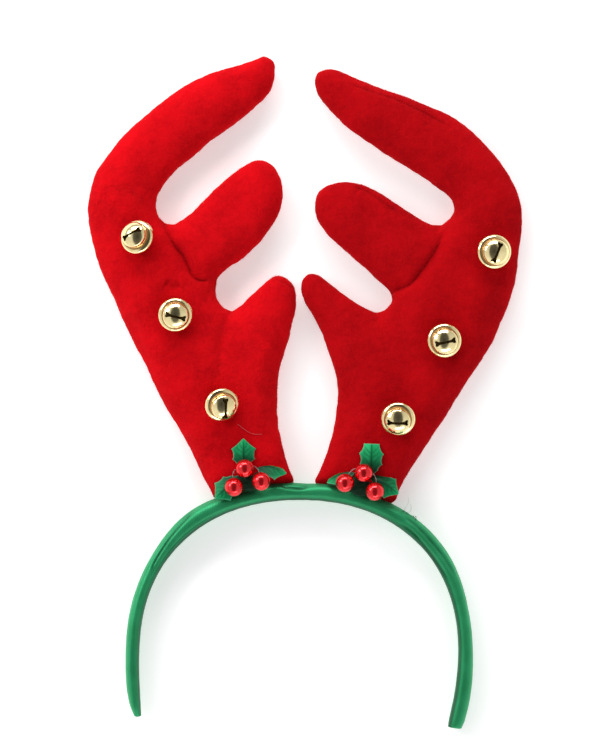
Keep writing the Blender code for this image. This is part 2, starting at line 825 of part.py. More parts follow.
def loop_wire(group):
    """The wire loop behind the bell that it is sewn on by, sunk a little into the bell's back."""
    radius = LOOP_DIAMETER / 2
    middle = -BELL_BACK_HEIGHT
    curve = bpy.data.curves.new("loop", "CURVE")
    curve.dimensions = "3D"
    curve.bevel_depth = LOOP_WIRE / 2
    curve.bevel_resolution = 1
    curve.use_fill_caps = True
    spline = curve.splines.new("POLY")
    turns = np.linspace(math.pi, 2 * math.pi, 6)
    ends = [(-radius, middle + 1.5 * BELL_WALL), (radius, middle + 1.5 * BELL_WALL)]
    arc = [(radius * math.cos(t), middle - 0.3 * radius + radius * math.sin(t)) for t in turns]
    route = [ends[0], *arc, ends[1]]
    spline.points.add(len(route) - 1)
    for point, (x, z) in zip(spline.points, route):
        point.co = (x, 0, z, 1)
    bent = object_of("loop_curve", curve, group)
    bpy.context.view_layer.update()
    wire = helper(object_of("loop_wire", mesh_of(bent), group))
    bpy.data.objects.remove(bent)
    return wire


def bell_mesh(cutters):
    """One bell on the Z axis, slotted front up and rim at Z = 0: a hollow shell with its loop."""
    body = turned("bell_body", bell_profile(), cutters)
    cavity = turned("bell_cavity", cavity_profile(), cutters)
    joined(body, loop_wire(cutters), "UNION")
    joined(body, cavity, "DIFFERENCE")
    joined(body, slot_cutter(cutters), "DIFFERENCE")
    bpy.context.view_layer.update()
    mesh = mesh_of(body)
    smooth_shaded(mesh)
    return mesh


def build_bells(antler, support, mesh, group, look):
    for seat in antler.bells:
        bell = object_of(f"bell_{antler.name}_{seat.name}", mesh, group, look)
        x, y = placed(antler, seat)
        towards = lean_direction(seat)
        tip_axis = Vector((-towards[1], towards[0], 0))
        lean = Matrix.Rotation(math.radians(seat.lean), 4, tip_axis)
        turn = Matrix.Rotation(math.radians(seat.slot_turn), 4, "Z")
        bell.matrix_world = Matrix.Translation((x, y, BAND_DEPTH)) @ lean @ turn
        lower_onto(bell, [support])


# Holly


def leaf_mesh(tip):
    """A leaf along +X with its base at the origin, folded along its rib and arched from base to tip."""
    rows = [*LEAF_SECTIONS, LeafSection(1.0, tip)]
    shape = bmesh.new()
    grid = []
    for row in rows:
        half = row.half_width * LEAF_WIDTH / 2
        arch = LEAF_ARCH * math.sin(math.pi * min(1, row.along * 0.9 + 0.05))
        line = []
        for share in (-1, -0.5, 0, 0.5, 1):
            fold = LEAF_FOLD * abs(share) * row.half_width
            line.append(shape.verts.new((row.along * LEAF_LENGTH, share * half, arch - fold)))
        grid.append(line)
    for near, far in zip(grid, grid[1:]):
        for k in range(4):
            shape.faces.new((near[k], far[k], far[k + 1], near[k + 1]))
    mesh = bpy.data.meshes.new("leaf")
    shape.to_mesh(mesh)
    shape.free()
    return mesh


def build_leaf(sprig, leaf, supports, group, look):
    obj = object_of(f"leaf_{sprig.side}_{leaf.name}", leaf_mesh(leaf.tip), group, look)
    thick = obj.modifiers.new("Solidify", "SOLIDIFY")
    thick.thickness = LEAF_THICKNESS
    thick.offset = 0
    obj.location = (sprig.x + leaf.x * BERRY_DIAMETER, sprig.y + leaf.y * BERRY_DIAMETER, 2 * BAND_DEPTH)
    obj.rotation_euler = (math.radians(leaf.roll), 0, math.radians(leaf.turn))
    lower_onto(obj, supports)
    return obj


def build_berry(sprig, berry, mesh, supports, group, look):
    obj = object_of(f"berry_{sprig.side}_{berry.name}", mesh, group, look)
    obj.location = (sprig.x + berry.x * BERRY_DIAMETER, sprig.y + berry.y * BERRY_DIAMETER, 2 * BAND_DEPTH)
    lower_onto(obj, supports)
    return obj


def berry_mesh():
    shape = bmesh.new()
    bmesh.ops.create_uvsphere(shape, u_segments=12, v_segments=8, radius=BERRY_DIAMETER / 2)
    mesh = bpy.data.meshes.new("berry")
    shape.to_mesh(mesh)
    shape.free()
    smooth_shaded(mesh, 60)
    return mesh


def build_stem(sprig, stem, berries, group, look):
    """A bent wire from one of the lower berries to the side of the top one."""
    start, end = berries[stem.lower].location, berries["top"].location
    between = (end - start).normalized()
    aside = Vector((-between.y, between.x, 0)).normalized() * stem.bows
    reach = BERRY_DIAMETER / 2 + CLEARANCE + STEM_WIRE / 2
    leave = (between * 0.55 + aside * 0.8).normalized()
    arrive = (aside * 0.9 - between * 0.45).normalized()
    first, last = start + leave * reach, end + arrive * reach
    middle = (first + last) / 2 + aside * STEM_BOW
    curve = bpy.data.curves.new("stem", "CURVE")
    curve.dimensions = "3D"
    curve.bevel_depth = STEM_WIRE / 2
    curve.bevel_resolution = 1
    curve.use_fill_caps = True
    spline = curve.splines.new("POLY")
    route = spaced(smooth_path([tuple(first), tuple(middle), tuple(last)]), 1.2 * MM)
    spline.points.add(len(route) - 1)
    for point, place in zip(spline.points, route):
        point.co = (*place, 1)
    return object_of(f"stem_{sprig.side}_{stem.name}", curve, group, look)


def build_sprig(sprig, supports, mesh, group, leaf_look, berry_look, stem_look):
    beneath = list(supports)
    for leaf in sprig.leaves:
        beneath.append(build_leaf(sprig, leaf, beneath, group, leaf_look))
    berries = {}
    for berry in sprig.berries:
        berries[berry.name] = build_berry(sprig, berry, mesh, beneath, group, berry_look)
    for stem in sprig.stems:
        build_stem(sprig, stem, berries, group, stem_look)


def centre_on_floor(group):
    """Moves everything so that the origin is on the floor under the middle of the whole."""
    corners = np.vstack([[tuple(p) for p in world_tree(obj)[0]] for obj in group.objects])
    low, high = corners.min(axis=0), corners.max(axis=0)
    shift = Vector((-(low[0] + high[0]) / 2, -(low[1] + high[1]) / 2, -low[2]))
    for obj in group.objects:
        obj.location += shift


def main():
    clear_scene()
    parts = collection("antler_headband")
    cutters = collection("cutters", hidden=True)
    felt = material("red_felt", (0.62, 0.006, 0.010), 0.95)
    satin = material("green_satin", (0.012, 0.20, 0.065), 0.45)
    gold = material("gold_metal", (0.90, 0.74, 0.38), 0.12, 1.0)
    leaf_look = material("green_leaf", (0.01, 0.28, 0.08), 0.35)
    berry_look = material("red_berry", (0.75, 0.01, 0.015), 0.08, 0.3)
    wire = material("stem_wire", (0.75, 0.70, 0.70), 0.3, 1.0)
    band = build_band(parts, satin)
    mesh = bell_mesh(cutters)
    antlers = {}
    for antler in ANTLERS:
        antlers[antler.name] = build_antler(antler, parts, felt)
        build_bells(antler, antlers[antler.name], mesh, parts, gold)
    berry = berry_mesh()
    for sprig in SPRIGS:
        supports = [antlers[sprig.side], band]
        build_sprig(sprig, supports, berry, parts, leaf_look, berry_look, wire)
    centre_on_floor(parts)


main()
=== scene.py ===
"""Looks of the reindeer antler headband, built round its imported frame.

It lies on its back on a pale floor, and the camera looks straight down at its front. Lengths are in metres.
"""

import math
import random
from collections import namedtuple

import bmesh
import bpy
import numpy as np
from mathutils import Matrix, Vector, noise
from mathutils.bvhtree import BVHTree
from mathutils.kdtree import KDTree


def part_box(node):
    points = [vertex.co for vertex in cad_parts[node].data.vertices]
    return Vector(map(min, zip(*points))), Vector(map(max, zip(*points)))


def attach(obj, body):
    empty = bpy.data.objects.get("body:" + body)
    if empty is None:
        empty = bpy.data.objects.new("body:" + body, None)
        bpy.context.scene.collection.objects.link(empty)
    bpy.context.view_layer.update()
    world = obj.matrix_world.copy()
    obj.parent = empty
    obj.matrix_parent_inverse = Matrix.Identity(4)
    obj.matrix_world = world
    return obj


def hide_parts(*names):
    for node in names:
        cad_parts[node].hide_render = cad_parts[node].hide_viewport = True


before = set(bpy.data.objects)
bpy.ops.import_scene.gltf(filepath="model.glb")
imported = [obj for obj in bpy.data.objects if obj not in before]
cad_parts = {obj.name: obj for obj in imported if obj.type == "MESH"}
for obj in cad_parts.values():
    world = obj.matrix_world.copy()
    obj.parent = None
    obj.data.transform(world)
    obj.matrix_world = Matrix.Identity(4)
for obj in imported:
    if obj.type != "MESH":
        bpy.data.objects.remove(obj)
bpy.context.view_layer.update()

MM = 0.001
SIDES = ("left", "right")

# The photograph: a pixel's size on the headband, the pixel over the frame's origin and the middle pixel
PIXEL = 0.44 * MM
ORIGIN_PIXEL = (305.4, 395.7)
MIDDLE_PIXEL = (300, 376)
PICTURE_HEIGHT = 752

# Camera and studio
CAMERA_HEIGHT = 2.4
SENSOR = 36
DARK_PATCH = 0.05
PATCH_HALF_WIDTH = 0.62
PATCH_HALF_LENGTH = 1.0
WORLD_STRENGTH = 1.1
Lamp = namedtuple("Lamp", "name place size power")
LAMPS = (
    Lamp("window", (-0.2, 1.5, 0.8), (1.7, 0.5), 24),
    Lamp("key", (-0.8, 0.4, 0.5), (0.45, 0.35), 4.5),
    Lamp("front", (0.3, -1.5, 0.62), (1.4, 0.4), 7),
)

# Felt
SEAM_HEIGHT = 6.5 * MM
SEAM_PINCH = 0.45 * MM
SEAM_REACH = 1.3 * MM
PUCKER_HEIGHT = 0.22 * MM
PUCKER_SIZE = 2.6 * MM
PUCKER_REACH = 3.5 * MM
FELT_GROWTH = 0.75 * MM
LUMP_HEIGHT = 0.55 * MM
LUMP_SIZE = 17 * MM
RIPPLE_HEIGHT = 0.22 * MM
RIPPLE_SIZE = 6.5 * MM
NAP_HEIGHT = 0.07 * MM
NAP_SIZE = 1.6 * MM
FOLD_WIDTH = 0.65 * MM
FADING_SHARE = 0.14
BELL_CLEAR = 7 * MM
HOLLY_CLEAR = 4 * MM
SWELL_CAP = 0.9 * MM
SWELL_FRAMES = 20
SEAM_FIBRES = 5200
OTHER_FIBRES = 4200
FIBRE_LENGTH = 0.9 * MM
FIBRE_WIDTH = 0.07 * MM
FIBRE_FLOOR = 1.5 * MM
STRAY_HAIR_RADIUS = 0.06 * MM
THIRDS_OF_TURN = (0, 2.094, 4.189)

# Band
BAND_STEP = 0.8 * MM
BAND_SHIFT = 0.45 * MM
END_SHIFT = 1.1 * MM
SHOULDER_BULGE = 1.5 * MM
LEG_SLIMMING = 0.9 * MM
LEFT_LEG_INWARD = 0.5 * MM
RIGHT_LEG_INWARD = 1.3 * MM
BAND_SIDES = 72
LAP_TURN = 38
LEAST_LAP = 0.02
MORE_LAP = 0.06
CAP_SHARES = (0.35, 0.7, 0.9)
TUFT_HEIGHT = 8.5 * MM
TUFT_RADIUS = 0.13 * MM
LOOSE_HAIR_RADIUS = 0.05 * MM
PULL_HEIGHT = 0.05 * MM
PULL_SIZE = (26 * MM, 2.4 * MM)
GATHER_HEIGHT = 0.10 * MM
GATHER_SIZE = (3.2 * MM, 9 * MM)
LEAST_GATHER = 0.35

# Places along the band: a middle and how far it reaches to each side, as shares, and how strongly it gathers
LEFT_SHOULDER = (0.33, 0.055)
RIGHT_SHOULDER = (0.70, 0.09)
LAPS = ((0.27, 0.10), (0.76, 0.13))
GATHERS = ((0.5, 0.11, 1.0), (0.0, 0.02, 1.0), (1.0, 0.02, 1.2))

# Bells
BELL_BACK = 5.6 * MM
BELL_WALL = 0.45 * MM
LOOP_RADIUS = 1.6 * MM
LOOP_WIRE = 0.4 * MM
BELL_STEPS = 56
SLOT_BACK = 3.4 * MM
SLOT_FRONT = 12 * MM
# Where the ring of painted shade and reflection lies inside each bell's rim
GROOVE_RADII = (5.6 * MM, 6.3 * MM)
GROOVE_HEIGHTS = (1.8 * MM, 3.0 * MM)
THREAD_RADIUS = 0.14 * MM
THREAD_SPACING = 0.5 * MM
THREAD_HALF_WIDTH = 0.75 * MM
THREAD_HALF_HEIGHT = 1.35 * MM
THREAD_DROP = 1.2 * MM

# Holly
LEAF_LENGTH = 14 * MM
LEAF_WIDTH = 11.4 * MM
LEAF_THICKNESS = 0.4 * MM
LEAF_ARCH = 1.8 * MM
LEAF_FOLD = 1.7 * MM
LEAF_CURL = 0.9 * MM
VEIN_DEPTH = 0.16 * MM
LEAF_GRID = (56, 21)
# How far painted shade reaches from each leaf's root, as a share of its length
ROOT_SHADES = {"top": 0.62, "inner": 0.80, "outer": 0.80}
STALK_RADIUS = 0.8 * MM
BERRY_RADIUS = 4.05 * MM
WIRE_RADIUS = 0.16 * MM
KNOT_HALVES = (5.0, 3.4, 1.5)
KNOT_DROP = 1.2 * MM


def from_photo(x, y):
    """The place in plan under a pixel of the photograph."""
    return Vector(((x - ORIGIN_PIXEL[0]) * PIXEL, (ORIGIN_PIXEL[1] - y) * PIXEL))


# Creases in the felt: how deep, how wide, how much of it is a sharp fold, and the pixels it runs through
Crease = namedtuple("Crease", "depth width fold pixels")
CREASES = {
    "left": (
        Crease(
            1.5 * MM,
            1.6 * MM,
            0.6,
            ((162, 219), (168, 234), (174, 246), (183, 257), (188, 267), (194, 277), (203, 281), (214, 279)),
        ),
        Crease(0.6 * MM, 2.0 * MM, 0.1, ((231, 309), (222, 330), (220, 350), (221, 379))),
        Crease(0.7 * MM, 1.0 * MM, 0.7, ((274, 279), (284, 283), (294, 289))),
        Crease(0.8 * MM, 2.4 * MM, 0.1, ((165, 283), (173, 288), (182, 286))),
        Crease(0.4 * MM, 3.0 * MM, 0.0, ((104, 197), (122, 190), (141, 197))),
        Crease(0.5 * MM, 1.8 * MM, 0.2, ((216, 284), (209, 294), (206, 306))),
    ),
    "right": (
        Crease(
            1.1 * MM,
            1.6 * MM,
            0.5,
            ((391, 293), (400, 289), (411, 284), (420, 273), (428, 262), (436, 250), (445, 229)),
        ),
        Crease(0.4 * MM, 3.0 * MM, 0.0, ((372, 318), (384, 334), (388, 356))),
        Crease(0.4 * MM, 2.6 * MM, 0.0, ((330, 300), (342, 320), (350, 344))),
        Crease(0.7 * MM, 0.5 * MM, 0.8, ((345, 83), (372, 92), (402, 103), (430, 116), (452, 129))),
        Crease(0.6 * MM, 0.5 * MM, 0.8, ((352, 186), (368, 192), (384, 203), (402, 215))),
    ),
}

# Folds in the band's cover, measured in the same way; a negative depth is a raised roll
BAND_FOLDS = (
    Crease(
        0.8 * MM,
        0.8 * MM,
        0.95,
        ((196, 507), (187, 517), (179, 526), (171, 536), (163, 548), (156, 560), (151, 572)),
    ),
    Crease(
        1.0 * MM,
        1.0 * MM,
        0.95,
        ((276, 485), (286, 486.3), (294, 487.3), (300, 487.8), (305, 486), (308, 482)),
    ),
    Crease(-0.7 * MM, 3.0 * MM, 0.0, ((262, 487), (276, 484), (286, 483))),
    Crease(-0.3 * MM, 3.0 * MM, 0.0, ((314, 486), (324, 486), (335, 488))),
    Crease(0.6 * MM, 0.6 * MM, 0.7, ((404, 516), (416, 525), (430, 540), (443, 556), (456, 577))),
    Crease(-0.5 * MM, 0.9 * MM, 0.0, ((402, 520), (414, 529), (428, 544), (440, 560), (452, 579))),
    Crease(0.5 * MM, 0.6 * MM, 0.7, ((400, 523), (412, 532), (425, 547), (437, 563), (448, 580))),
    Crease(0.4 * MM, 0.8 * MM, 0.3, ((134, 640), (133, 660), (134, 682))),
)

# Hairs by the band's tuft and one on the left antler, each as the pixels that it runs through
LOOSE_HAIRS = (((404, 513), (405, 508), (408, 503), (408, 497)), ((407, 514), (411, 509), (410, 503)))
STRAY_HAIR = ((238, 424), (243, 428), (249, 432), (255, 434), (262, 434))

# Corners that stand out from the padded outline: each one's pixel and how wide a patch goes with it
Corner = namedtuple("Corner", "pixel reach")
CORNERS = {
    "left": (
        Corner((263.5, 56.5), 2.6 * MM),
        Corner((274, 62.5), 3.0 * MM),
        Corner((262, 160.5), 9 * MM),
        Corner((293, 483), 4.5 * MM),
    ),
    "right": (
        Corner((315.5, 483), 4.5 * MM),
        Corner((319.5, 73), 3.0 * MM),
        Corner((309, 274), 6 * MM),
    ),
}

# Places where the outline is a little off: a pixel, how far it moves in pixels and how wide a patch goes too
Shift = namedtuple("Shift", "pixel by reach")
SHIFTS = {
    "left": (Shift((208, 494), (3.0, 0.5), 5 * MM),),
    "right": (Shift((416, 459), (3.4, -0.6), 8 * MM), Shift((401, 488), (-1.6, 0.5), 4 * MM)),
}

# The felt's lower edge by its inner and outer ends, and how hard the band presses on it
BASES = {"left": ((291, 487), (216, 503)), "right": ((317, 487), (393, 503))}
BASE_PRESS = 0.8
BASE_REACH = 4.5 * MM
BASE_TUCK = 1.6 * MM

# Bells: where each leans and by how many degrees, how its slot is turned, and its shift in millimetres
BellSeat = namedtuple("BellSeat", "name lean_towards lean slot_turn nudge")
BELLS = {
    "left": (
        BellSeat("upper", 152, 24, 28, (0.26, 0.22)),
        BellSeat("middle", -78, 8, -14, (-0.22, 0.44)),
        BellSeat("lower", -49, 22, 90, (0.0, 0.66)),
    ),
    "right": (
        BellSeat("upper", -24, 12, 68, (-0.88, 0.22)),
        BellSeat("middle", -60, 8, 12, (-0.9, 0.44)),
        BellSeat("lower", -99, 16, -1, (-0.44, 1.1)),
    ),
}

# Half of a bell's profile from the front pole to the back pole, in millimetres
BELL_PROFILE = (
    (0.0, 7.6), (1.5, 7.45), (2.8, 7.08), (3.8, 6.61), (4.6, 6.10), (5.2, 5.61),
    (5.5, 5.33), (5.62, 5.0), (5.66, 4.2), (5.7, 3.2), (5.76, 2.5), (5.9, 2.1),
    (6.15, 1.95), (6.5, 1.9), (6.8, 1.72), (7.1, 1.5), (7.35, 1.22), (7.56, 0.85),
    (7.68, 0.4), (7.68, 0.1), (7.5, -0.3), (6.95, -0.62), (6.88, -1.5), (6.45, -2.7),
    (5.6, -3.9), (4.2, -4.85), (2.4, -5.4), (0.0, -5.6),
)

# The hollow in it, measured in the same way
CAVITY_PROFILE = (
    (0, 7.6 - BELL_WALL / MM), (3.0, 6.75), (4.5, 5.7), (5.2, 3.6),
    (5.6, 0.8), (6.0, -1.5), (4.6, -3.9), (0, -5.6 + BELL_WALL / MM),
)

# A quarter of the slot's outline from its waist to its end, in millimetres
SLOT_WAIST = (0, 0.5)
SLOT_QUARTER = (
    (1.2, 0.54), (2.4, 0.62), (3.1, 0.82), (3.55, 1.15), (4.0, 1.32),
    (4.4, 1.2), (4.62, 0.85), (4.5, 0.4), (4.36, 0),
)

# A holly leaf's spines in pairs, from its root: how far along and how far out, as shares
Spine = namedtuple("Spine", "along half_width")
SPINES = (
    Spine(0.00, 0.14),
    Spine(0.18, 0.55),
    Spine(0.36, 0.90),
    Spine(0.69, 1.00),
)
SPINE_HOLLOW = 0.17

# Its side veins: how far along each leaves the rib and how far along it ends
VEINS = ((0.05, 0.36), (0.28, 0.70), (0.52, 0.84), (0.68, 0.94))

# The holly's leaves: the way that each points, its roll, the width of its tip and a shift along Y
POINTED_TIP = 0.03
BLUNT_TIP = 0.62
Leaf = namedtuple("Leaf", "name turn roll tip nudge")
LEAVES = {
    "left": (
        Leaf("top", 91, 0, POINTED_TIP, 0),
        Leaf("outer", 222, 12, POINTED_TIP, 1.5 * MM),
        Leaf("inner", -14, -48, POINTED_TIP, 2.4 * MM),
    ),
    "right": (
        Leaf("top", 88, 0, BLUNT_TIP, -1.0 * MM),
        Leaf("inner", 205, 50, POINTED_TIP, 2.8 * MM),
        Leaf("outer", -33, -24, POINTED_TIP, 2.0 * MM),
    ),
}
BERRY_RISES = {"left": 0.6 * MM, "right": 1.0 * MM}
STEM_BOWS = {"left": {"outer": 1, "inner": -1}, "right": {"inner": 1, "outer": -1}}


# Materials


def socket_name(word):
    return word.replace("_", " ").title().replace("Ior", "IOR")


class Nodes:
    """A node tree with short calls to add nodes to it."""

    def __init__(self, tree):
        self.tree = tree

    def node(self, kind, inputs=(), **settings):
        made = self.tree.nodes.new("ShaderNode" + kind)
        for name, value in settings.items():
            setattr(made, name, value)
        for socket, value in dict(inputs).items():
            if isinstance(value, bpy.types.NodeSocket):
                self.tree.links.new(value, made.inputs[socket])
            else:
                made.inputs[socket].default_value = value
        return made

    def remap(self, value, low, high, to_low=0.0, to_high=1.0):
        inputs = {"Value": value, "From Min": low, "From Max": high, "To Min": to_low, "To Max": to_high}
        return self.node("MapRange", inputs).outputs["Result"]

    def maths(self, operation, a, b):
        return self.node("Math", {0: a, 1: b}, operation=operation).outputs[0]


class Look(Nodes):
    """A Principled material."""

    def __init__(self, name, **sockets):
        self.material = bpy.data.materials.new(name)
        self.material.use_nodes = True
        super().__init__(self.material.node_tree)
        self.shader = self.tree.nodes["Principled BSDF"]
        for socket, value in sockets.items():
            self.shader.inputs[socket_name(socket)].default_value = value

    def place(self, scale=(1, 1, 1), uv=False):
        """The surface's place in metres, or its UV map, stretched by scale."""
        source = self.node("TexCoord").outputs["UV" if uv else "Object"]
        return self.node("Mapping", {"Vector": source, "Scale": scale}).outputs["Vector"]

    def noise(self, per_metre, detail=4, rough=0.6, scale=(1, 1, 1), uv=False, warp=0.0):
        inputs = {"Vector": self.place(scale, uv), "Scale": per_metre, "Detail": detail}
        inputs.update({"Roughness": rough, "Distortion": warp})
        return self.node("TexNoise", inputs).outputs["Fac"]

    def blend(self, share, a, b):
        made = self.node("Mix", {"Factor": share}, data_type="RGBA")
        for socket, value in (("A", a), ("B", b)):
            target = next(s for s in made.inputs if s.name == socket and s.type == "RGBA")
            if isinstance(value, bpy.types.NodeSocket):
                self.tree.links.new(value, target)
            else:
                target.default_value = (*value, 1)
        return next(s for s in made.outputs if s.type == "RGBA")

    def towards(self, base, colour, share, amount):
        """The base drawn towards the colour, by the whole amount where the share is one."""
        return self.blend(self.maths("MULTIPLY", share, amount), base, colour)

    def attribute(self, name):
        return self.node("Attribute", attribute_name=name).outputs["Fac"]

    def bump(self, height, distance, strength=1.0, under=None):
        inputs = {"Height": height, "Distance": distance, "Strength": strength}
        if under is not None:
            inputs["Normal"] = under
        return self.node("Bump", inputs).outputs["Normal"]

    def connect(self, **sockets):
        for socket, value in sockets.items():
            self.tree.links.new(value, self.shader.inputs[socket_name(socket)])
        return self.material


def mottled_look(name, per_metre, dark, light, detail=4, **sockets):
    """A look whose colour drifts between two."""
    look = Look(name, **sockets)
    return look.connect(base_color=look.blend(look.noise(per_metre, detail), dark, light))


def thread_look(name, dark, light):
    return mottled_look(name, 1500, dark, light, roughness=0.8, specular_ior_level=0.2)


def felt_look(name, painted_shade):
    """Brushed polyester felt: short fibres that lie every way, faint clouds, and painted shade in its creases
    and, by the given share, all over.
    """
    look = Look(
        name,
        roughness=0.95,
        sheen_weight=0.06,
        sheen_roughness=0.5,
        sheen_tint=(1.0, 0.12, 0.12, 1),
        specular_ior_level=0.04,
    )
    clouds = look.remap(look.noise(70, 4, 0.6), 0.36, 0.66)
    tufts = look.remap(look.noise(330, 5, 0.72, warp=0.8), 0.34, 0.68)
    lengthways = look.noise(1100, 3, 0.6, scale=(0.25, 1, 1), warp=1.2)
    crossways = look.noise(1100, 3, 0.6, scale=(1, 0.25, 1), warp=1.2)
    fibres = look.maths("MAXIMUM", lengthways, crossways)
    base = look.blend(clouds, (0.42, 0.0010, 0.0042), (0.61, 0.0020, 0.0062))
    base = look.towards(base, (0.66, 0.0032, 0.0068), tufts, 0.5)
    base = look.blend(look.remap(fibres, 0.5, 0.74, 0.0, 0.4), base, (0.74, 0.006, 0.010))
    # Painted shade in the creases, by the fold mask.
    base = look.towards(base, (0.16, 0.0008, 0.0024), look.attribute("fold"), 0.6)
    # Painted shade over the whole felt, by the given share, for the antler that the lamps light less.
    base = look.blend(painted_shade, base, (0.08, 0.0004, 0.0010))
    coarse = look.bump(tufts, 0.30 * MM, 0.55)
    fine = look.bump(fibres, 0.18 * MM, 0.7, under=coarse)
    return look.connect(base_color=base, normal=fine)


def satin_look():
    """Green satin: fine floats along the band, a broad soft shine, and painted shade in its folds, where it
    turns in and in a dark line along its inner edge.
    """
    look = Look(
        "satin",
        metallic=0.45,
        roughness=0.45,
        sheen_weight=0.22,
        sheen_roughness=0.3,
        sheen_tint=(0.2, 1.0, 0.5, 1),
        specular_ior_level=0.7,
        specular_tint=(0.35, 1.0, 0.62, 1),
    )
    floats = look.noise(1.0, 2, 0.5, scale=(450, 2600, 1), uv=True)
    ribs = look.node(
        "TexWave",
        {"Vector": look.place((1, 0.45, 1), uv=True), "Scale": 560, "Distortion": 1.2, "Detail": 1},
        bands_direction="DIAGONAL",
    ).outputs["Fac"]
    clouds = look.remap(look.noise(90, 3), 0.3, 0.7)
    base = look.blend(clouds, (0.016, 0.240, 0.085), (0.026, 0.320, 0.125))
    base = look.blend(look.remap(floats, 0.45, 0.75, 0, 0.35), base, (0.035, 0.36, 0.15))
    # Painted shade in the cover's folds.
    base = look.towards(base, (0.002, 0.030, 0.012), look.attribute("fold"), 0.9)
    base = look.towards(base, (0.006, 0.12, 0.042), ribs, 0.22)
    # Painted shade where the cover turns in towards the head.
    base = look.towards(base, (0.006, 0.095, 0.034), look.attribute("shade"), 0.75)
    # Painted shade: a near-black line along the inner edge.
    base = look.towards(base, (0.001, 0.010, 0.005), look.attribute("painted_edge_shade"), 0.95)
    rough = look.remap(floats, 0.3, 0.7, 0.40, 0.52)
    weave = look.bump(ribs, 0.06 * MM, 0.5, under=look.bump(floats, 0.06 * MM, 0.45))
    return look.connect(base_color=base, roughness=rough, normal=weave)


def gold_look():
    """Thin plating over a pressed shell: bright, with faint clouds and rubbed patches."""
    look = Look("gold", metallic=1.0, roughness=0.12)
    haze = look.remap(look.noise(350, 4), 0.35, 0.7)
    base = look.blend(haze, (0.95, 0.82, 0.45), (0.84, 0.68, 0.32))
    rough = look.remap(look.noise(700, 5, 0.7), 0.3, 0.75, 0.07, 0.20)
    dents = look.bump(look.noise(260, 2, warp=0.8), 0.10 * MM, 0.4)
    return look.connect(base_color=base, roughness=rough, normal=dents)


def berry_look():
    """A red lacquered bead: a metallic coat under clear gloss."""
    look = Look(
        "berry",
        metallic=0.8,
        roughness=0.17,
        coat_weight=0.55,
        coat_roughness=0.04,
        specular_tint=(1.0, 0.2, 0.2, 1),
    )
    base = look.blend(look.remap(look.noise(260, 3), 0.35, 0.7), (0.74, 0.010, 0.016), (0.86, 0.016, 0.022))
    flow = look.bump(look.noise(180, 2), 0.04 * MM, 0.25)
    return look.connect(base_color=base, normal=flow)


def leaf_look():
    """Stiffened green satin: paler along its edge, dark on the veins, and with painted shade towards the
    root.
    """
    look = Look(
        "leaf",
        roughness=0.42,
        sheen_weight=0.03,
        sheen_roughness=0.3,
        sheen_tint=(0.3, 1.0, 0.6, 1),
        specular_ior_level=0.25,
        specular_tint=(0.4, 1.0, 0.65, 1),
    )
    clouds = look.remap(look.noise(420, 4), 0.35, 0.7)
    base = look.blend(clouds, (0.009, 0.33, 0.104), (0.016, 0.46, 0.158))
    base = look.towards(base, (0.002, 0.045, 0.016), look.attribute("vein"), 0.85)
    # Painted shade towards the root, under the berries.
    base = look.blend(look.attribute("root"), base, (0.001, 0.012, 0.005))
    base = look.towards(base, (0.10, 0.48, 0.26), look.attribute("edge"), 0.65)
    weave = look.noise(1.0, 2, 0.5, scale=(900, 2800, 900))
    return look.connect(base_color=base, normal=look.bump(weave, 0.05 * MM, 0.4))


# Helpers for shapes


def object_of(name, mesh, look=None):
    obj = bpy.data.objects.new(name, mesh)
    bpy.context.scene.collection.objects.link(obj)
    if look is not None:
        mesh.materials.clear()
        mesh.materials.append(look)
    return obj


def points_of(mesh):
    flat = np.zeros(len(mesh.vertices) * 3)
    mesh.vertices.foreach_get("co", flat)
    return flat.reshape(-1, 3)


def set_points(mesh, points):
    """Moves the mesh's points, none of them to below the floor."""
    points[:, 2] = np.maximum(points[:, 2], 0)
    mesh.vertices.foreach_set("co", np.asarray(points, np.float32).ravel())
    mesh.update()


def normals_of(mesh):
    flat = np.zeros(len(mesh.vertices) * 3, np.float32)
    mesh.vertex_normals.foreach_get("vector", flat)
    return flat.reshape(-1, 3).astype(float)


def applied(obj):
    """Applies the object's modifiers to its mesh."""
    graph = bpy.context.evaluated_depsgraph_get()
    mesh = bpy.data.meshes.new_from_object(obj.evaluated_get(graph), depsgraph=graph)
    obj.modifiers.clear()
    obj.data = mesh
    return obj


def subdivided(obj, levels):
    modifier = obj.modifiers.new("Subdivision", "SUBSURF")
    modifier.levels = modifier.render_levels = levels
    modifier.boundary_smooth = "PRESERVE_CORNERS"
    return applied(obj)


def noise_at(points, size, seed=0):
    """Smooth noise from -1 to 1 at each point, with features about size across."""
    shift = Vector((seed * 7.3, seed * 3.1, seed * 5.7))
    return np.array([noise.noise(Vector(p) / size + shift) for p in points])


def tree_of(points):
    """A tree that finds the nearest of the points."""
    tree = KDTree(len(points))
    for k, point in enumerate(points):
        tree.insert(Vector(point), k)
    tree.balance()
    return tree


def surface_of(mesh):
    """A tree that rays can be cast at."""
    corners = [vert.co.copy() for vert in mesh.vertices]
    return BVHTree.FromPolygons(corners, [tuple(face.vertices) for face in mesh.polygons])


def mesh_from(shape, name):
    """A new mesh from the bmesh, which is freed."""
    mesh = bpy.data.meshes.new(name)
    shape.to_mesh(mesh)
    shape.free()
    return mesh


def hump(value, middle, reach):
    """One at the middle, and falling to zero on both sides of it."""
    return np.exp(-(((value - middle) / reach) ** 2))


def nearest(points, targets):
    """Each point's distance to the nearest of the targets."""
    tree = tree_of(targets)
    return np.array([tree.find(Vector(p))[2] for p in points])


def smooth_path(points, steps=12):
    """A Catmull-Rom curve through the points."""
    p = [Vector(q) for q in points]
    p = [2 * p[0] - p[1], *p, 2 * p[-1] - p[-2]]
    out = []
    for a, b, c, d in zip(p, p[1:], p[2:], p[3:]):
        for k in range(steps):
            t = k / steps
            square = 2 * a - 5 * b + 4 * c - d
            cube = 3 * b - a - 3 * c + d
            out.append(0.5 * (2 * b + (c - a) * t + square * t**2 + cube * t**3))
    return [*out, p[-2]]


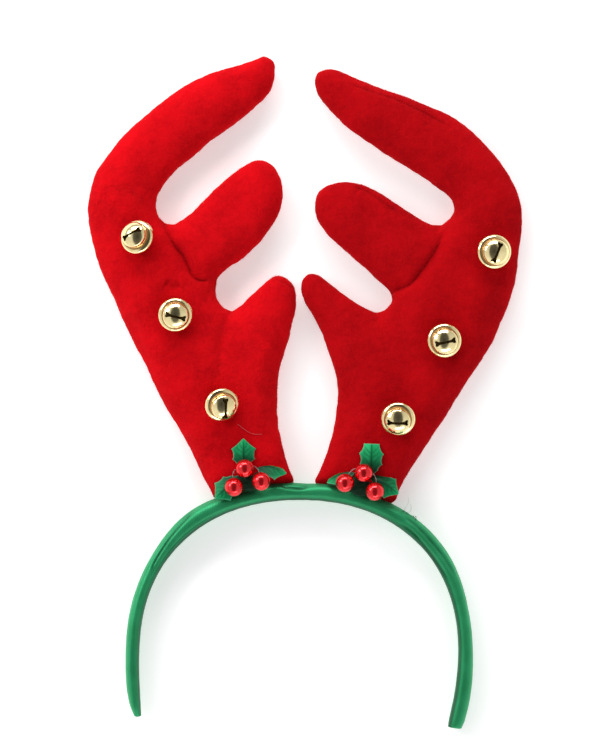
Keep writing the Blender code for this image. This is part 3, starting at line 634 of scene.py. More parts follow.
def tube(name, routes, radius, look, sides=2):
    """One curve object with a round tube along each route, as a mesh."""
    curve = bpy.data.curves.new(name, "CURVE")
    curve.dimensions = "3D"
    curve.bevel_depth = radius
    curve.bevel_resolution = sides
    curve.use_fill_caps = True
    for route in routes:
        spline = curve.splines.new("POLY")
        spline.points.add(len(route) - 1)
        for point, place in zip(spline.points, route):
            point.co = (*place, 1)
    bent = bpy.data.objects.new(name + "_curve", curve)
    bpy.context.scene.collection.objects.link(bent)
    bpy.context.view_layer.update()
    graph = bpy.context.evaluated_depsgraph_get()
    mesh = bpy.data.meshes.new_from_object(bent.evaluated_get(graph))
    bpy.data.objects.remove(bent)
    mesh.shade_smooth()
    return object_of(name, mesh, look)


def world_points(obj):
    turned = points_of(obj.data) @ np.array(obj.matrix_world.to_3x3()).T
    return turned + np.array(obj.matrix_world.translation)


def move_to_node(obj, node):
    """Moves obj until its box is centred on the node's, with its highest points level."""
    bpy.context.view_layer.update()
    points = world_points(obj)
    low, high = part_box(node)
    middle = (points.min(axis=0) + points.max(axis=0)) / 2
    shift = (low + high) / 2 - Vector(middle)
    shift.z = high.z - points[:, 2].max()
    obj.matrix_world = Matrix.Translation(shift) @ obj.matrix_world
    bpy.context.view_layer.update()


def stands_for(obj, *nodes):
    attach(obj, "root")
    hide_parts(*nodes)


# Antlers


def welded_copy(node, name):
    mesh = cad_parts[node].data.copy()
    shape = bmesh.new()
    shape.from_mesh(mesh)
    bmesh.ops.remove_doubles(shape, verts=shape.verts, dist=0.01 * MM)
    shape.to_mesh(mesh)
    shape.free()
    mesh.shade_smooth()
    return object_of(name, mesh)


def mark_seam(mesh):
    """Stores one on the seam's points and zero elsewhere, which subdivision then blends."""
    seam = mesh.attributes.new("seam", "FLOAT", "POINT")
    on_seam = np.abs(points_of(mesh)[:, 2] - SEAM_HEIGHT) < 0.03 * MM
    seam.data.foreach_set("value", on_seam.astype(np.float32))


def stored(mesh, name):
    values = np.zeros(len(mesh.vertices), np.float32)
    mesh.attributes[name].data.foreach_get("value", values)
    return values.astype(float)


def store(mesh, name, values):
    made = mesh.attributes.get(name) or mesh.attributes.new(name, "FLOAT", "POINT")
    made.data.foreach_set("value", np.asarray(values, np.float32))


def bell_middles(side):
    out = []
    for seat in BELLS[side]:
        low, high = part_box(f"bell_{side}_{seat.name}")
        out.append((low + high) / 2)
    return out


def freedom(points, side):
    """From zero where a bell or the holly touches the felt to one away from them."""
    free = np.ones(len(points))
    for middle in bell_middles(side):
        away = np.linalg.norm(points[:, :2] - np.array(middle.xy), axis=1)
        free = np.minimum(free, np.clip(away / BELL_CLEAR - 0.6, 0, 1))
    lows, highs = zip(*(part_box(f"leaf_{side}_{leaf.name}") for leaf in LEAVES[side]))
    low, high = np.min(lows, axis=0)[:2], np.max(highs, axis=0)[:2]
    outside = np.maximum(np.maximum(low - points[:, :2], points[:, :2] - high), 0)
    return np.minimum(free, np.clip(np.linalg.norm(outside, axis=1) / HOLLY_CLEAR, 0.15, 1))


def flat_route(pixels):
    return smooth_path([(*from_photo(*pixel), 0) for pixel in pixels])


def refine_creases(obj, side):
    """Splits the mesh twice along each crease, so that a fold can be sharp."""
    tree = tree_of([point for crease in CREASES[side] for point in flat_route(crease.pixels)])
    shape = bmesh.new()
    shape.from_mesh(obj.data)
    for reach in (2.6 * MM, 1.3 * MM):
        chosen = []
        for edge in shape.edges:
            middle = (edge.verts[0].co + edge.verts[1].co) / 2
            if middle.z > SEAM_HEIGHT and tree.find((middle.x, middle.y, 0))[2] < reach:
                chosen.append(edge)
        bmesh.ops.subdivide_edges(shape, edges=chosen, cuts=1, use_grid_fill=True)
    shape.to_mesh(obj.data)
    shape.free()


def crease_dip(points, creases):
    """How far the surface sinks at the creases, and how sharply it folds; both fade at a crease's ends."""
    total = np.zeros(len(points))
    fold = np.zeros(len(points))
    flat = np.column_stack([points[:, :2], np.zeros(len(points))])
    for crease in creases:
        route = flat_route(crease.pixels)
        tree = tree_of(route)
        found = [tree.find(point)[1:] for point in flat]
        share = np.array([index for index, _ in found]) / (len(route) - 1)
        away = np.array([distance for _, distance in found])
        strength = np.clip(np.minimum(share, 1 - share) / FADING_SHARE, 0, 1)
        sharp = np.exp(-((away / FOLD_WIDTH) ** 1.5))
        soft = hump(away, 0, crease.width)
        total += strength * crease.depth * (crease.fold * sharp + (1 - crease.fold) * soft)
        fold = np.maximum(fold, strength * crease.fold * sharp)
    return total, fold


def drawn_to_corners(points, side):
    """Pulls the outline out to the corners, each with a patch of felt round it."""
    for corner in CORNERS[side]:
        goal = np.array(from_photo(*corner.pixel))
        away = np.linalg.norm(points[:, :2] - goal, axis=1)
        first = points[np.argmin(away)]
        reach = np.linalg.norm(points[:, :2] - first[:2], axis=1)
        weight = hump(reach, 0, corner.reach)
        points[:, :2] += weight[:, None] * (goal - first[:2])
    for shift in SHIFTS[side]:
        away = np.linalg.norm(points[:, :2] - np.array(from_photo(*shift.pixel)), axis=1)
        step = np.array([shift.by[0], -shift.by[1]]) * PIXEL
        points[:, :2] += hump(away, 0, shift.reach)[:, None] * step
    return points


def tucked_base(points, side):
    """Presses the felt's lower edge down, so that the band covers it."""
    inner, outer = BASES[side]
    start, end = np.array(from_photo(*inner)), np.array(from_photo(*outer))
    across = np.array([start[1] - end[1], end[0] - start[0]])
    across /= np.linalg.norm(across)
    if across[1] < 0:
        across = -across
    above = (points[:, :2] - start) @ across
    press = 1 - BASE_PRESS * np.clip(1 - above / BASE_REACH, 0, 1) ** 1.5
    front = points[:, 2] > SEAM_HEIGHT
    points[front, 2] = SEAM_HEIGHT + (points[front, 2] - SEAM_HEIGHT) * press[front]
    share = np.clip((points[:, :2] - start) @ (end - start) / np.dot(end - start, end - start), 0, 1)
    between = np.clip(np.minimum(share, 1 - share) / 0.12, 0, 1)
    tuck = BASE_TUCK * np.clip(1 - above / BASE_REACH, 0, 1) * between
    points[:, :2] -= tuck[:, None] * across
    return points


def finish_felt(obj, side):
    """Sinks the seam and creases, raises lumps and nap, and tucks the base behind the band."""
    mesh = obj.data
    points, normals = points_of(mesh), normals_of(mesh)
    seam = np.clip(stored(mesh, "seam"), 0, 1)
    seam_points = points[seam > 0.95]
    away = nearest(points, seam_points)
    free = freedom(points, side)
    front = np.clip(normals[:, 2], 0, 1)
    puckers = noise_at(points * np.array([1, 1, 0.25]), PUCKER_SIZE, 3) * hump(away, 0, PUCKER_REACH)
    move = PUCKER_HEIGHT * puckers - SEAM_PINCH * hump(away, 0, SEAM_REACH)
    move += FELT_GROWTH * (1 - np.abs(normals[:, 2]))
    move += LUMP_HEIGHT * noise_at(points, LUMP_SIZE, 1) * free
    move += RIPPLE_HEIGHT * noise_at(points, RIPPLE_SIZE, 4) * free
    move += NAP_HEIGHT * noise_at(points, NAP_SIZE, 2)
    dip, fold = crease_dip(points, CREASES[side])
    move -= dip * front * free
    # The fold mask: the felt's colour darkens by it as painted shade.
    store(mesh, "fold", fold * front * free)
    points = points + normals * move[:, None]
    points = tucked_base(drawn_to_corners(points, side), side)
    set_points(mesh, points)


def swell(obj, side):
    """Lets pressure round the stuffed shape and pull puckers in at its corners, by no more than a cap."""
    start = points_of(obj.data)
    cloth = obj.modifiers.new("Cloth", "CLOTH")
    settings = cloth.settings
    settings.quality = 6
    settings.mass = 0.15
    settings.tension_stiffness = settings.compression_stiffness = 12
    settings.shear_stiffness = 4
    settings.bending_stiffness = 0.15
    settings.use_pressure = True
    settings.uniform_pressure_force = 5
    settings.shrink_min = -0.03
    settings.effector_weights.gravity = 0
    cloth.point_cache.frame_start, cloth.point_cache.frame_end = 1, SWELL_FRAMES
    scene = bpy.context.scene
    for step in range(1, SWELL_FRAMES + 1):
        scene.frame_set(step)
    applied(obj)
    scene.frame_set(1)
    moved = points_of(obj.data) - start
    length = np.linalg.norm(moved, axis=1)
    held = np.minimum(length, SWELL_CAP) / np.maximum(length, 1e-9)
    points = start + moved * (held * freedom(start, side))[:, None]
    set_points(obj.data, points)


def build_fuzz(obj, side, look):
    """Loose fibres that stand off the felt, most of them near the seam, where they soften the outline."""
    draw = random.Random(11 if side == "left" else 12)
    mesh = obj.data
    points, normals = points_of(mesh), normals_of(mesh)
    seam = np.clip(stored(mesh, "seam"), 0, 1)
    raised = np.flatnonzero(points[:, 2] > FIBRE_FLOOR)
    near = np.array([k for k in raised if seam[k] > 0.15])
    shape = bmesh.new()
    for chosen, count in ((near, SEAM_FIBRES), (raised, OTHER_FIBRES)):
        for _ in range(count):
            k = int(chosen[draw.randrange(len(chosen))])
            jitter = Vector([draw.gauss(0, 0.35) * MM for _ in range(3)])
            out = Vector(normals[k])
            root = Vector(points[k]) + (jitter - out * jitter.dot(out)) - out * 0.15 * MM
            lean = Vector([draw.gauss(0, 1) for _ in range(3)])
            along = (out * 0.8 + lean.normalized()).normalized()
            tip = root + along * FIBRE_LENGTH * draw.uniform(0.5, 1.3)
            side_way = along.orthogonal().normalized() * FIBRE_WIDTH / 2
            across = along.cross(side_way)
            ring = []
            for turn in THIRDS_OF_TURN:
                ring.append(shape.verts.new(root + side_way * math.cos(turn) + across * math.sin(turn)))
            top = shape.verts.new(tip)
            shape.faces.new((ring[2], ring[1], ring[0]))
            for j in range(3):
                shape.faces.new((ring[j], ring[(j + 1) % 3], top))
    made = object_of(f"felt_fuzz_{side}", mesh_from(shape, "fuzz"), look)
    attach(made, "root")


def build_antler(side, felt, fibre):
    node = "antler_" + side
    obj = welded_copy(node, "felt_" + node)
    mark_seam(obj.data)
    subdivided(obj, 1)
    swell(obj, side)
    subdivided(obj, 1)
    refine_creases(obj, side)
    finish_felt(obj, side)
    obj.data.materials.clear()
    obj.data.materials.append(felt)
    obj.data.shade_smooth()
    stands_for(obj, node)
    build_fuzz(obj, side, fibre)
    return obj


def build_stray_hair(felt, look):
    """A pale hair that lies on the left antler's felt."""
    tree = surface_of(felt.data)
    route = []
    for pixel in STRAY_HAIR:
        place = from_photo(*pixel)
        hit = tree.ray_cast(Vector((place.x, place.y, 1)), Vector((0, 0, -1)))[0]
        route.append(hit + Vector((0, 0, 0.2 * MM)))
    hair = tube("stray_hair", [smooth_path(route, 6)], STRAY_HAIR_RADIUS, look, 1)
    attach(hair, "root")


# Band


def even_path(path, step):
    path = np.array(path)
    along = np.concatenate([[0], np.cumsum(np.linalg.norm(np.diff(path, axis=0), axis=1))])
    at = np.linspace(0, along[-1], round(along[-1] / step) + 1)
    return np.stack([np.interp(at, along, path[:, k]) for k in range(path.shape[1])], axis=1)


def softened(values, reach):
    """Values along a line, averaged over a bell-shaped window that keeps both ends in place."""
    spread = np.arange(-2 * reach, 2 * reach + 1)
    weights = np.exp(-((spread / reach) ** 2))
    weights /= weights.sum()
    before = 2 * values[0] - values[2 * reach : 0 : -1]
    beyond = 2 * values[-1] - values[-2 : -2 * reach - 2 : -1]
    return np.convolve(np.concatenate([before, values, beyond]), weights, mode="valid")


def measured_band():
    """The band's inner edge, outward direction, thickness and depth, measured on the frame by rays."""
    tree = surface_of(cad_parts["band"].data)
    low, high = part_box("band")
    level = (low.z + high.z) / 2
    hub = Vector(((low.x + high.x) / 2, high.y - (high.x - low.x) / 2, level))
    inner = []
    for turn in np.linspace(math.radians(215), math.radians(-35), 900):
        hit = tree.ray_cast(hub, Vector((math.cos(turn), math.sin(turn), 0)))[0]
        if hit is not None:
            inner.append((hit.x, hit.y))
    inner = even_path(inner, BAND_STEP)
    inner = np.stack([softened(inner[:, k], 5) for k in range(2)], axis=1)
    ahead = np.gradient(inner, axis=0)
    ahead /= np.linalg.norm(ahead, axis=1)[:, None]
    out = np.stack([-ahead[:, 1], ahead[:, 0]], axis=1)
    thick, floor, top = [], [], []
    for foot, way in zip(inner, out):
        direction = Vector((*way, 0))
        start = Vector((*foot, level)) + direction * 30 * MM
        outer = tree.ray_cast(start, -direction)[0]
        reach = (outer.xy - Vector(foot)).length if outer else np.nan
        middle = Vector((*foot, 0)) + direction * (0.45 * (reach if outer else 5 * MM))
        above = tree.ray_cast(middle + Vector((0, 0, 1)), Vector((0, 0, -1)))[0]
        below = tree.ray_cast(middle - Vector((0, 0, 1)), Vector((0, 0, 1)))[0]
        thick.append(reach)
        top.append(above.z if above else np.nan)
        floor.append(below.z if below else np.nan)
    columns = []
    for values in (thick, floor, top):
        values = np.array(values)
        known = ~np.isnan(values)
        columns.append(softened(np.interp(np.arange(len(values)), np.flatnonzero(known), values[known]), 3))
    return inner, ahead, out, *columns


def band_ring(thick, floor, top, lap):
    """A rounded section as (out, height) pairs, squarer towards the head, stepped where the cover laps."""
    ring = []
    for k in range(BAND_SIDES):
        turn = 2 * math.pi * k / BAND_SIDES
        power = 2 / 2.7 if math.cos(turn) < 0 else 2 / 2.1
        x = math.copysign(abs(math.cos(turn)) ** power, math.cos(turn))
        z = math.copysign(abs(math.sin(turn)) ** (2 / 2.1), math.sin(turn))
        degrees = math.degrees(turn)
        past, short = max(0, degrees - LAP_TURN), max(0, LAP_TURN - degrees)
        step = 1 / (1 + math.exp(-(degrees - LAP_TURN) / 2.2)) * hump(past, 0, 60)
        grow = 1 - lap * (1 - step) * hump(short, 0, 30) * (degrees < 120)
        x, z = x * grow, z * grow
        ring.append((thick * (0.5 + 0.5 * x), (floor + top) / 2 + (top - floor) / 2 * z))
    return ring


def fitted_band():
    """The measured band as the cover fills it: full shoulders, and legs that thin outside and grow inside."""
    inner, ahead, out, thick, floor, top = (column[:-1] for column in measured_band())
    shares = np.linspace(0, 1, len(inner))
    inner = inner + out * (BAND_SHIFT + END_SHIFT * hump(shares, 0, 0.06))[:, None]
    thick = thick + SHOULDER_BULGE * hump(shares, *LEFT_SHOULDER)
    thick = thick + 0.5 * SHOULDER_BULGE * hump(shares, *RIGHT_SHOULDER)
    thick = thick - LEG_SLIMMING * np.clip((shares - 0.74) / 0.08, 0, 1)
    left_leg = np.clip((0.24 - shares) / 0.12, 0, 1)
    right_leg = np.clip((shares - 0.72) / 0.20, 0, 1)
    inward = LEFT_LEG_INWARD * left_leg + RIGHT_LEG_INWARD * right_leg
    return inner - out * inward[:, None], ahead, out, thick + inward, floor, top, shares


def band_caps(points, way, depth):
    """Smaller and smaller rings that round off an end of the band."""
    middle = sum(points, Vector()) / len(points)
    rings = []
    for share in CAP_SHARES:
        grow = math.sqrt(1 - share**2)
        rings.append([middle + (p - middle) * grow + way * depth * share for p in points])
    return rings


def build_band(look):
    """A satin cover over the padded hoop: its edge laps along the front, and it puckers where it bends."""
    inner, ahead, out, thick, floor, top, shares = fitted_band()
    count, spare = len(inner), len(CAP_SHARES)
    length = (count - 1) * BAND_STEP
    rings = []
    laps = LEAST_LAP + MORE_LAP * np.minimum(1, sum(hump(shares, *lap) for lap in LAPS))
    for k in range(count):
        ring = band_ring(thick[k], floor[k], top[k], laps[k])
        rings.append([Vector((*(inner[k] + out[k] * reach), height)) for reach, height in ring])
    start_caps = band_caps(rings[0], Vector((*-ahead[0], 0)), 0.6 * MM)
    end_caps = band_caps(rings[-1], Vector((*ahead[-1], 0)), 0.3 * MM)
    lengths = [-MM] * spare + list(shares * length) + [length + MM] * spare
    shape = bmesh.new()
    uv_layer = shape.loops.layers.uv.new("UVMap")
    verts = [[shape.verts.new(p) for p in ring] for ring in [*reversed(start_caps), *rings, *end_caps]]
    around = 2 * ((top - floor).mean() + thick.mean())
    for i, (ring, following) in enumerate(zip(verts, verts[1:])):
        for k in range(BAND_SIDES):
            after = (k + 1) % BAND_SIDES
            face = shape.faces.new((ring[k], following[k], following[after], ring[after]))
            marks = ((i, k), (i + 1, k), (i + 1, k + 1), (i, k + 1))
            for loop, (station, spoke) in zip(face.loops, marks):
                loop[uv_layer].uv = (lengths[station], spoke / BAND_SIDES * around)
    shape.faces.new(verts[0])
    shape.faces.new(reversed(verts[-1]))
    bmesh.ops.recalc_face_normals(shape, faces=shape.faces)
    mesh = mesh_from(shape, "satin_band")
    obj = object_of("satin_band", mesh, look)
    mesh.shade_smooth()
    # Masks of painted shade: where the cover turns in, and a dark line along its inner edge, wider on the
    # right leg.
    turn = 360 * np.arange(BAND_SIDES) / BAND_SIDES
    shade = np.clip((turn - 90) / 60, 0, 1) * np.clip((188 - turn) / 15, 0, 1)
    store(mesh, "shade", np.tile(shade, len(verts)))
    leg = np.pad(np.clip((shares - 0.62) / 0.2, 0, 1), spare, mode="edge")[:, None]
    painted_edge_shade = np.exp(-(((turn - 155 + 4 * leg) / (22 + 5 * leg)) ** 4))
    store(mesh, "painted_edge_shade", painted_edge_shade.ravel())
    pucker_band(mesh, inner)
    stands_for(obj, "band")


def pucker_band(mesh, inner):
    """Sinks the cover's folds and raises fine pulls along it, with gathers at its middle and ends."""
    points, normals = points_of(mesh), normals_of(mesh)
    tree = tree_of([(*foot, 0) for foot in inner])
    station = np.array([tree.find(Vector((p[0], p[1], 0)))[1] for p in points])
    along, height = station * BAND_STEP, points[:, 2]
    dip, fold = crease_dip(points, BAND_FOLDS)
    front = np.clip(normals[:, 2] * 1.5, 0, 1)
    # The fold mask: the satin's colour darkens by it as painted shade.
    store(mesh, "fold", np.clip(fold * front, 0, 1))
    stretched = np.column_stack([along / PULL_SIZE[0], height / PULL_SIZE[1], np.zeros(len(points))])
    across = np.column_stack([along / GATHER_SIZE[0], height / GATHER_SIZE[1], np.ones(len(points))])
    pulls = np.array([noise.noise(Vector(p)) for p in stretched])
    gathers = np.array([noise.noise(Vector(p)) for p in across])
    share = station / (len(inner) - 1)
    gathered = LEAST_GATHER + sum(strong * hump(share, middle, reach) for middle, reach, strong in GATHERS)
    move = PULL_HEIGHT * pulls + GATHER_HEIGHT * gathers * gathered - dip * front
    set_points(mesh, points + normals * move[:, None])


def build_snag(look, hair):
    """A frayed tuft on the band's right shoulder, with a few fine hairs."""
    draw = random.Random(5)
    middle = from_photo(409, 516)
    along = (from_photo(417, 521) - from_photo(402, 511)).normalized()
    tufts = []
    for _ in range(20):
        foot = middle + along * draw.uniform(-3.4, 3.4) * MM
        root = Vector((*foot, TUFT_HEIGHT + draw.uniform(-1.6, 1.6) * MM))
        up = Vector((draw.uniform(-0.2, 1), draw.uniform(0.0, 1), draw.uniform(-0.3, 0.8)))
        side = Vector((draw.uniform(-1, 1), draw.uniform(-1, 1), draw.uniform(-0.5, 0.5)))
        reach = draw.uniform(0.5, 1.2) * MM
        tufts.append(smooth_path([root, root + up * reach * 0.6, root + up * reach + side * reach * 0.7], 5))
    tuft = tube("frayed_tuft", tufts, TUFT_RADIUS, look, 1)
    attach(tuft, "root")
    hairs = []
    for pixels in LOOSE_HAIRS:
        route = [(*from_photo(*pixel), TUFT_HEIGHT + 0.4 * MM * k) for k, pixel in enumerate(pixels)]
        hairs.append(smooth_path(route, 6))
    strands = tube("loose_hairs", hairs, LOOSE_HAIR_RADIUS, hair, 1)
    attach(strands, "root")


# Bells


def spun(profile, name, look):
    """A profile in millimetres, from pole to pole, turned round Z."""
    shape = bmesh.new()
    verts = [shape.verts.new((r * MM, 0, z * MM)) for r, z in profile]
    edges = [shape.edges.new(pair) for pair in zip(verts, verts[1:])]
    bmesh.ops.spin(
        shape, geom=verts + edges, cent=(0, 0, 0), axis=(0, 0, 1), angle=2 * math.pi, steps=BELL_STEPS
    )
    bmesh.ops.remove_doubles(shape, verts=shape.verts, dist=0.001 * MM)
    bmesh.ops.recalc_face_normals(shape, faces=shape.faces)
    return object_of(name, mesh_from(shape, name), look)


def slot_cutter(look):
    """A prism that cuts the slot: narrow, with two rounded lobes at each end, like a dog's bone."""
    upper = [*reversed(SLOT_QUARTER), SLOT_WAIST, *((-x, y) for x, y in SLOT_QUARTER)]
    lower = [(x, -y) for x, y in reversed(upper) if y > 0]
    outline = upper + lower
    shape = bmesh.new()
    bottom = [shape.verts.new((x * MM, y * MM, SLOT_BACK)) for x, y in outline]
    top = [shape.verts.new((x * MM, y * MM, SLOT_FRONT)) for x, y in outline]
    shape.faces.new(reversed(bottom))
    shape.faces.new(top)
    for k in range(len(outline)):
        after = (k + 1) % len(outline)
        shape.faces.new((bottom[k], bottom[after], top[after], top[k]))
    bmesh.ops.recalc_face_normals(shape, faces=shape.faces)
    return object_of("slot_cutter", mesh_from(shape, "slot"), look)


def bell_loop(look):
    """The wire loop behind a bell."""
    ends = -BELL_BACK + 0.8 * MM
    middle = -BELL_BACK - 0.3 * LOOP_RADIUS
    route = [(-LOOP_RADIUS, 0, ends)]
    for turn in np.linspace(math.pi, 2 * math.pi, 14):
        route.append((LOOP_RADIUS * math.cos(turn), 0, middle + LOOP_RADIUS * math.sin(turn)))
    route.append((LOOP_RADIUS, 0, ends))
    return tube("bell_loop", [route], LOOP_WIRE, look, 3)


def bell_mesh(gold, inside, painted_groove_reflection):
    """A hollow bell with its slot, its loop, and the thin recess inside its rim coloured brown as painted
    shade and reflection.
    """
    body = spun(BELL_PROFILE, "bell_body", gold)
    cavity = spun(CAVITY_PROFILE, "bell_cavity", inside)
    cutter = slot_cutter(gold)
    for other in (cavity, cutter):
        modifier = body.modifiers.new("Cut", "BOOLEAN")
        modifier.operation = "DIFFERENCE"
        modifier.object = other
        modifier.material_mode = "TRANSFER"
    bpy.context.view_layer.update()
    mesh = applied(body).data
    mesh.materials.append(painted_groove_reflection)
    # Faces in the recess inside the rim take the brown colour of painted shade and reflection.
    nearer, further = GROOVE_RADII
    lower, upper = GROOVE_HEIGHTS
    for face in mesh.polygons:
        if nearer < face.center.xy.length < further and lower < face.center.z < upper:
            face.material_index = len(mesh.materials) - 1
    loop = bell_loop(gold)
    joined = bmesh.new()
    joined.from_mesh(mesh)
    joined.from_mesh(loop.data)
    joined.to_mesh(mesh)
    joined.free()
    for obj in (body, cavity, cutter, loop):
        bpy.data.objects.remove(obj)
    mesh.shade_smooth()
    mesh.set_sharp_from_angle(angle=math.radians(42))
    return mesh


def build_bells(gold, inside, painted_groove_reflection, thread):
    mesh = bell_mesh(gold, inside, painted_groove_reflection)
    for side in SIDES:
        for seat in BELLS[side]:
            node = f"bell_{side}_{seat.name}"
            bell = object_of("gold_" + node, mesh, None)
            towards = math.radians(seat.lean_towards)
            hinge = Vector((-math.sin(towards), math.cos(towards), 0))
            lean = Matrix.Rotation(math.radians(seat.lean), 4, hinge)
            bell.matrix_world = lean @ Matrix.Rotation(math.radians(seat.slot_turn), 4, "Z")
            move_to_node(bell, node)
            nudge = Matrix.Translation((seat.nudge[0] * MM, seat.nudge[1] * MM, 0))
            bell.matrix_world = nudge @ bell.matrix_world
            stands_for(bell, node)
            build_bell_thread(bell, side, seat, thread)


def build_bell_thread(bell, side, seat, look):
    """Three turns of sewing thread round the bell's loop, down into the felt."""
    routes = []
    for k in range(3):
        across = (k - 1) * THREAD_SPACING
        route = []
        for turn in np.linspace(0, 2 * math.pi, 17):
            height = -BELL_BACK - THREAD_DROP + THREAD_HALF_HEIGHT * math.cos(turn)
            route.append(bell.matrix_world @ Vector((across, THREAD_HALF_WIDTH * math.sin(turn), height)))
        routes.append(route)
    stitches = tube(f"bell_thread_{side}_{seat.name}", routes, THREAD_RADIUS, look, 1)
    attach(stitches, "root")


# Holly


def leaf_half_width(along, tip):
    """The leaf's half-width as a share: sharp at the spines, with a hollow between each two."""
    rows = [*SPINES, Spine(1.0, tip)]
    for near, far in zip(rows, rows[1:]):
        if along <= far.along:
            share = (along - near.along) / (far.along - near.along)
            straight = near.half_width + (far.half_width - near.half_width) * share
            return straight - SPINE_HOLLOW * math.sqrt(4 * share * (1 - share)) * min(1, straight)
    return tip


def vein_height(u, v):
    """One on the midrib and on the side veins that run out to the spines, falling to zero beside them."""
    rib = hump(v, 0, 0.10)
    side = 0.0
    for start, end in VEINS:
        line = start + (end - start) * abs(v) ** 0.9
        side = max(side, hump(u, line, 0.032) * min(1, 1.25 - abs(v)))
    return max(rib, 0.75 * side)


def leaf_mesh(leaf, look):
    """A stiff satin leaf along +X: folded on its rib, arched, with pressed veins and curled spines."""
    rows, columns = LEAF_GRID
    dark = ROOT_SHADES[leaf.name]
    shape = bmesh.new()
    grid, facts = [], []
    for i in range(rows + 1):
        u = i / rows
        share = leaf_half_width(u, leaf.tip)
        line = []
        for j in range(columns):
            v = 2 * j / (columns - 1) - 1
            arch = LEAF_ARCH * math.sin(math.pi * min(1, u * 0.9 + 0.05))
            fold = LEAF_FOLD * abs(v) * share
            curl = LEAF_CURL * abs(v) ** 3 * share**3 * math.sin(u * 9 + (2 if v > 0 else 0))
            vein = vein_height(u, v)
            z = arch - fold + curl * 0.6 - VEIN_DEPTH * vein
            line.append(shape.verts.new((u * LEAF_LENGTH, v * share * LEAF_WIDTH / 2, z)))
            edge = max(0, (abs(v) - 0.86) / 0.14, (u - 0.97) / 0.03)
            # The root mask paints shade onto the leaf towards its root.
            facts.append((edge, vein, 0.97 * math.exp(-((u / dark) ** 3))))
        grid.append(line)
    for near, far in zip(grid, grid[1:]):
        for j in range(columns - 1):
            shape.faces.new((near[j], far[j], far[j + 1], near[j + 1]))
    mesh = mesh_from(shape, "leaf")
    for name, column in (("edge", 0), ("vein", 1), ("root", 2)):
        store(mesh, name, [row[column] for row in facts])
    mesh.materials.append(look)
    mesh.shade_smooth()
    return mesh


def build_leaf(side, leaf, look):
    node = f"leaf_{side}_{leaf.name}"
    obj = object_of("satin_" + node, leaf_mesh(leaf, look), None)
    thick = obj.modifiers.new("Solidify", "SOLIDIFY")
    thick.thickness = LEAF_THICKNESS
    thick.offset = 0
    applied(obj)
    turn = Matrix.Rotation(math.radians(leaf.turn), 4, "Z")
    obj.matrix_world = turn @ Matrix.Rotation(math.radians(leaf.roll), 4, "X")
    move_to_node(obj, node)
    obj.matrix_world = Matrix.Translation((0, leaf.nudge, 0)) @ obj.matrix_world
    stands_for(obj, node)


def berry_mesh(look):
    """A bead with a small dimple where its wire goes in."""
    shape = bmesh.new()
    bmesh.ops.create_uvsphere(shape, u_segments=48, v_segments=28, radius=BERRY_RADIUS)
    for vert in shape.verts:
        vert.co.z += 0.5 * MM * hump(vert.co.xy.length, 0, 0.8 * MM) * (vert.co.z < 0)
    mesh = mesh_from(shape, "berry")
    mesh.materials.append(look)
    mesh.shade_smooth()
    return mesh


def middle_of(node):
    low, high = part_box(node)
    return (low + high) / 2


def stem_route(side, name):
    """From a lower berry, bowed out past the top berry's side."""
    start, end = middle_of(f"berry_{side}_{name}"), middle_of(f"berry_{side}_top")
    start.y += BERRY_RISES[side]
    end.y += BERRY_RISES[side]
    between = (end - start).normalized()
    aside = Vector((-between.y, between.x, 0)).normalized() * STEM_BOWS[side][name]
    first = start + (between * 0.75 + aside * 0.6).normalized() * (BERRY_RADIUS - 0.1 * MM)
    last = end + (aside * 0.8 - between * 0.55).normalized() * (BERRY_RADIUS - 0.1 * MM)
    middle = (first + last) / 2 + aside * 0.5 * MM
    return smooth_path([first, middle, last], 14)


def twisted(route, radius, turns, phase):
    """The route of one strand wound round a route."""
    out = []
    for k, point in enumerate(route):
        ahead = (route[min(k + 1, len(route) - 1)] - route[max(k - 1, 0)]).normalized()
        side = ahead.orthogonal().normalized()
        angle = phase + 2 * math.pi * turns * k / (len(route) - 1)
        out.append(point + (side * math.cos(angle) + ahead.cross(side) * math.sin(angle)) * radius)
    return out


def build_stalks(side, look):
    """The leaves' stalks, brought together in a knot under the berries, in a near-black tape that is partly
    painted shade.
    """
    middles = [middle_of(f"berry_{side}_{name}") for name in ("top", "inner", "outer")]
    knot = sum(middles, Vector()) / 3
    knot.y -= KNOT_DROP
    knot.z = min(middle_of(f"leaf_{side}_{leaf.name}").z for leaf in LEAVES[side]) + 0.5 * MM
    routes = []
    for leaf in LEAVES[side]:
        centre = middle_of(f"leaf_{side}_{leaf.name}")
        way = Vector((math.cos(math.radians(leaf.turn)), math.sin(math.radians(leaf.turn)), 0))
        root = centre - way * LEAF_LENGTH * 0.42
        crown = knot + (root - knot) * 0.4 + Vector((0, 0, 0.6 * MM))
        routes.append(smooth_path([knot - way * 2 * MM, crown, root], 6))
    stalks = tube(f"leaf_stalks_{side}", routes, STALK_RADIUS, look, 3)
    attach(stalks, "root")
    shape = bmesh.new()
    bmesh.ops.create_icosphere(shape, subdivisions=4, radius=1)
    for vert in shape.verts:
        ruffle = 1 + 0.28 * noise.noise(vert.co * 1.7 + knot * 90) + 0.08 * noise.noise(vert.co * 6)
        vert.co = vert.co * Vector(KNOT_HALVES) * MM * ruffle + knot
    mesh = mesh_from(shape, "leaf_knot")
    mesh.shade_smooth()
    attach(object_of(f"leaf_knot_{side}", mesh, look), "root")


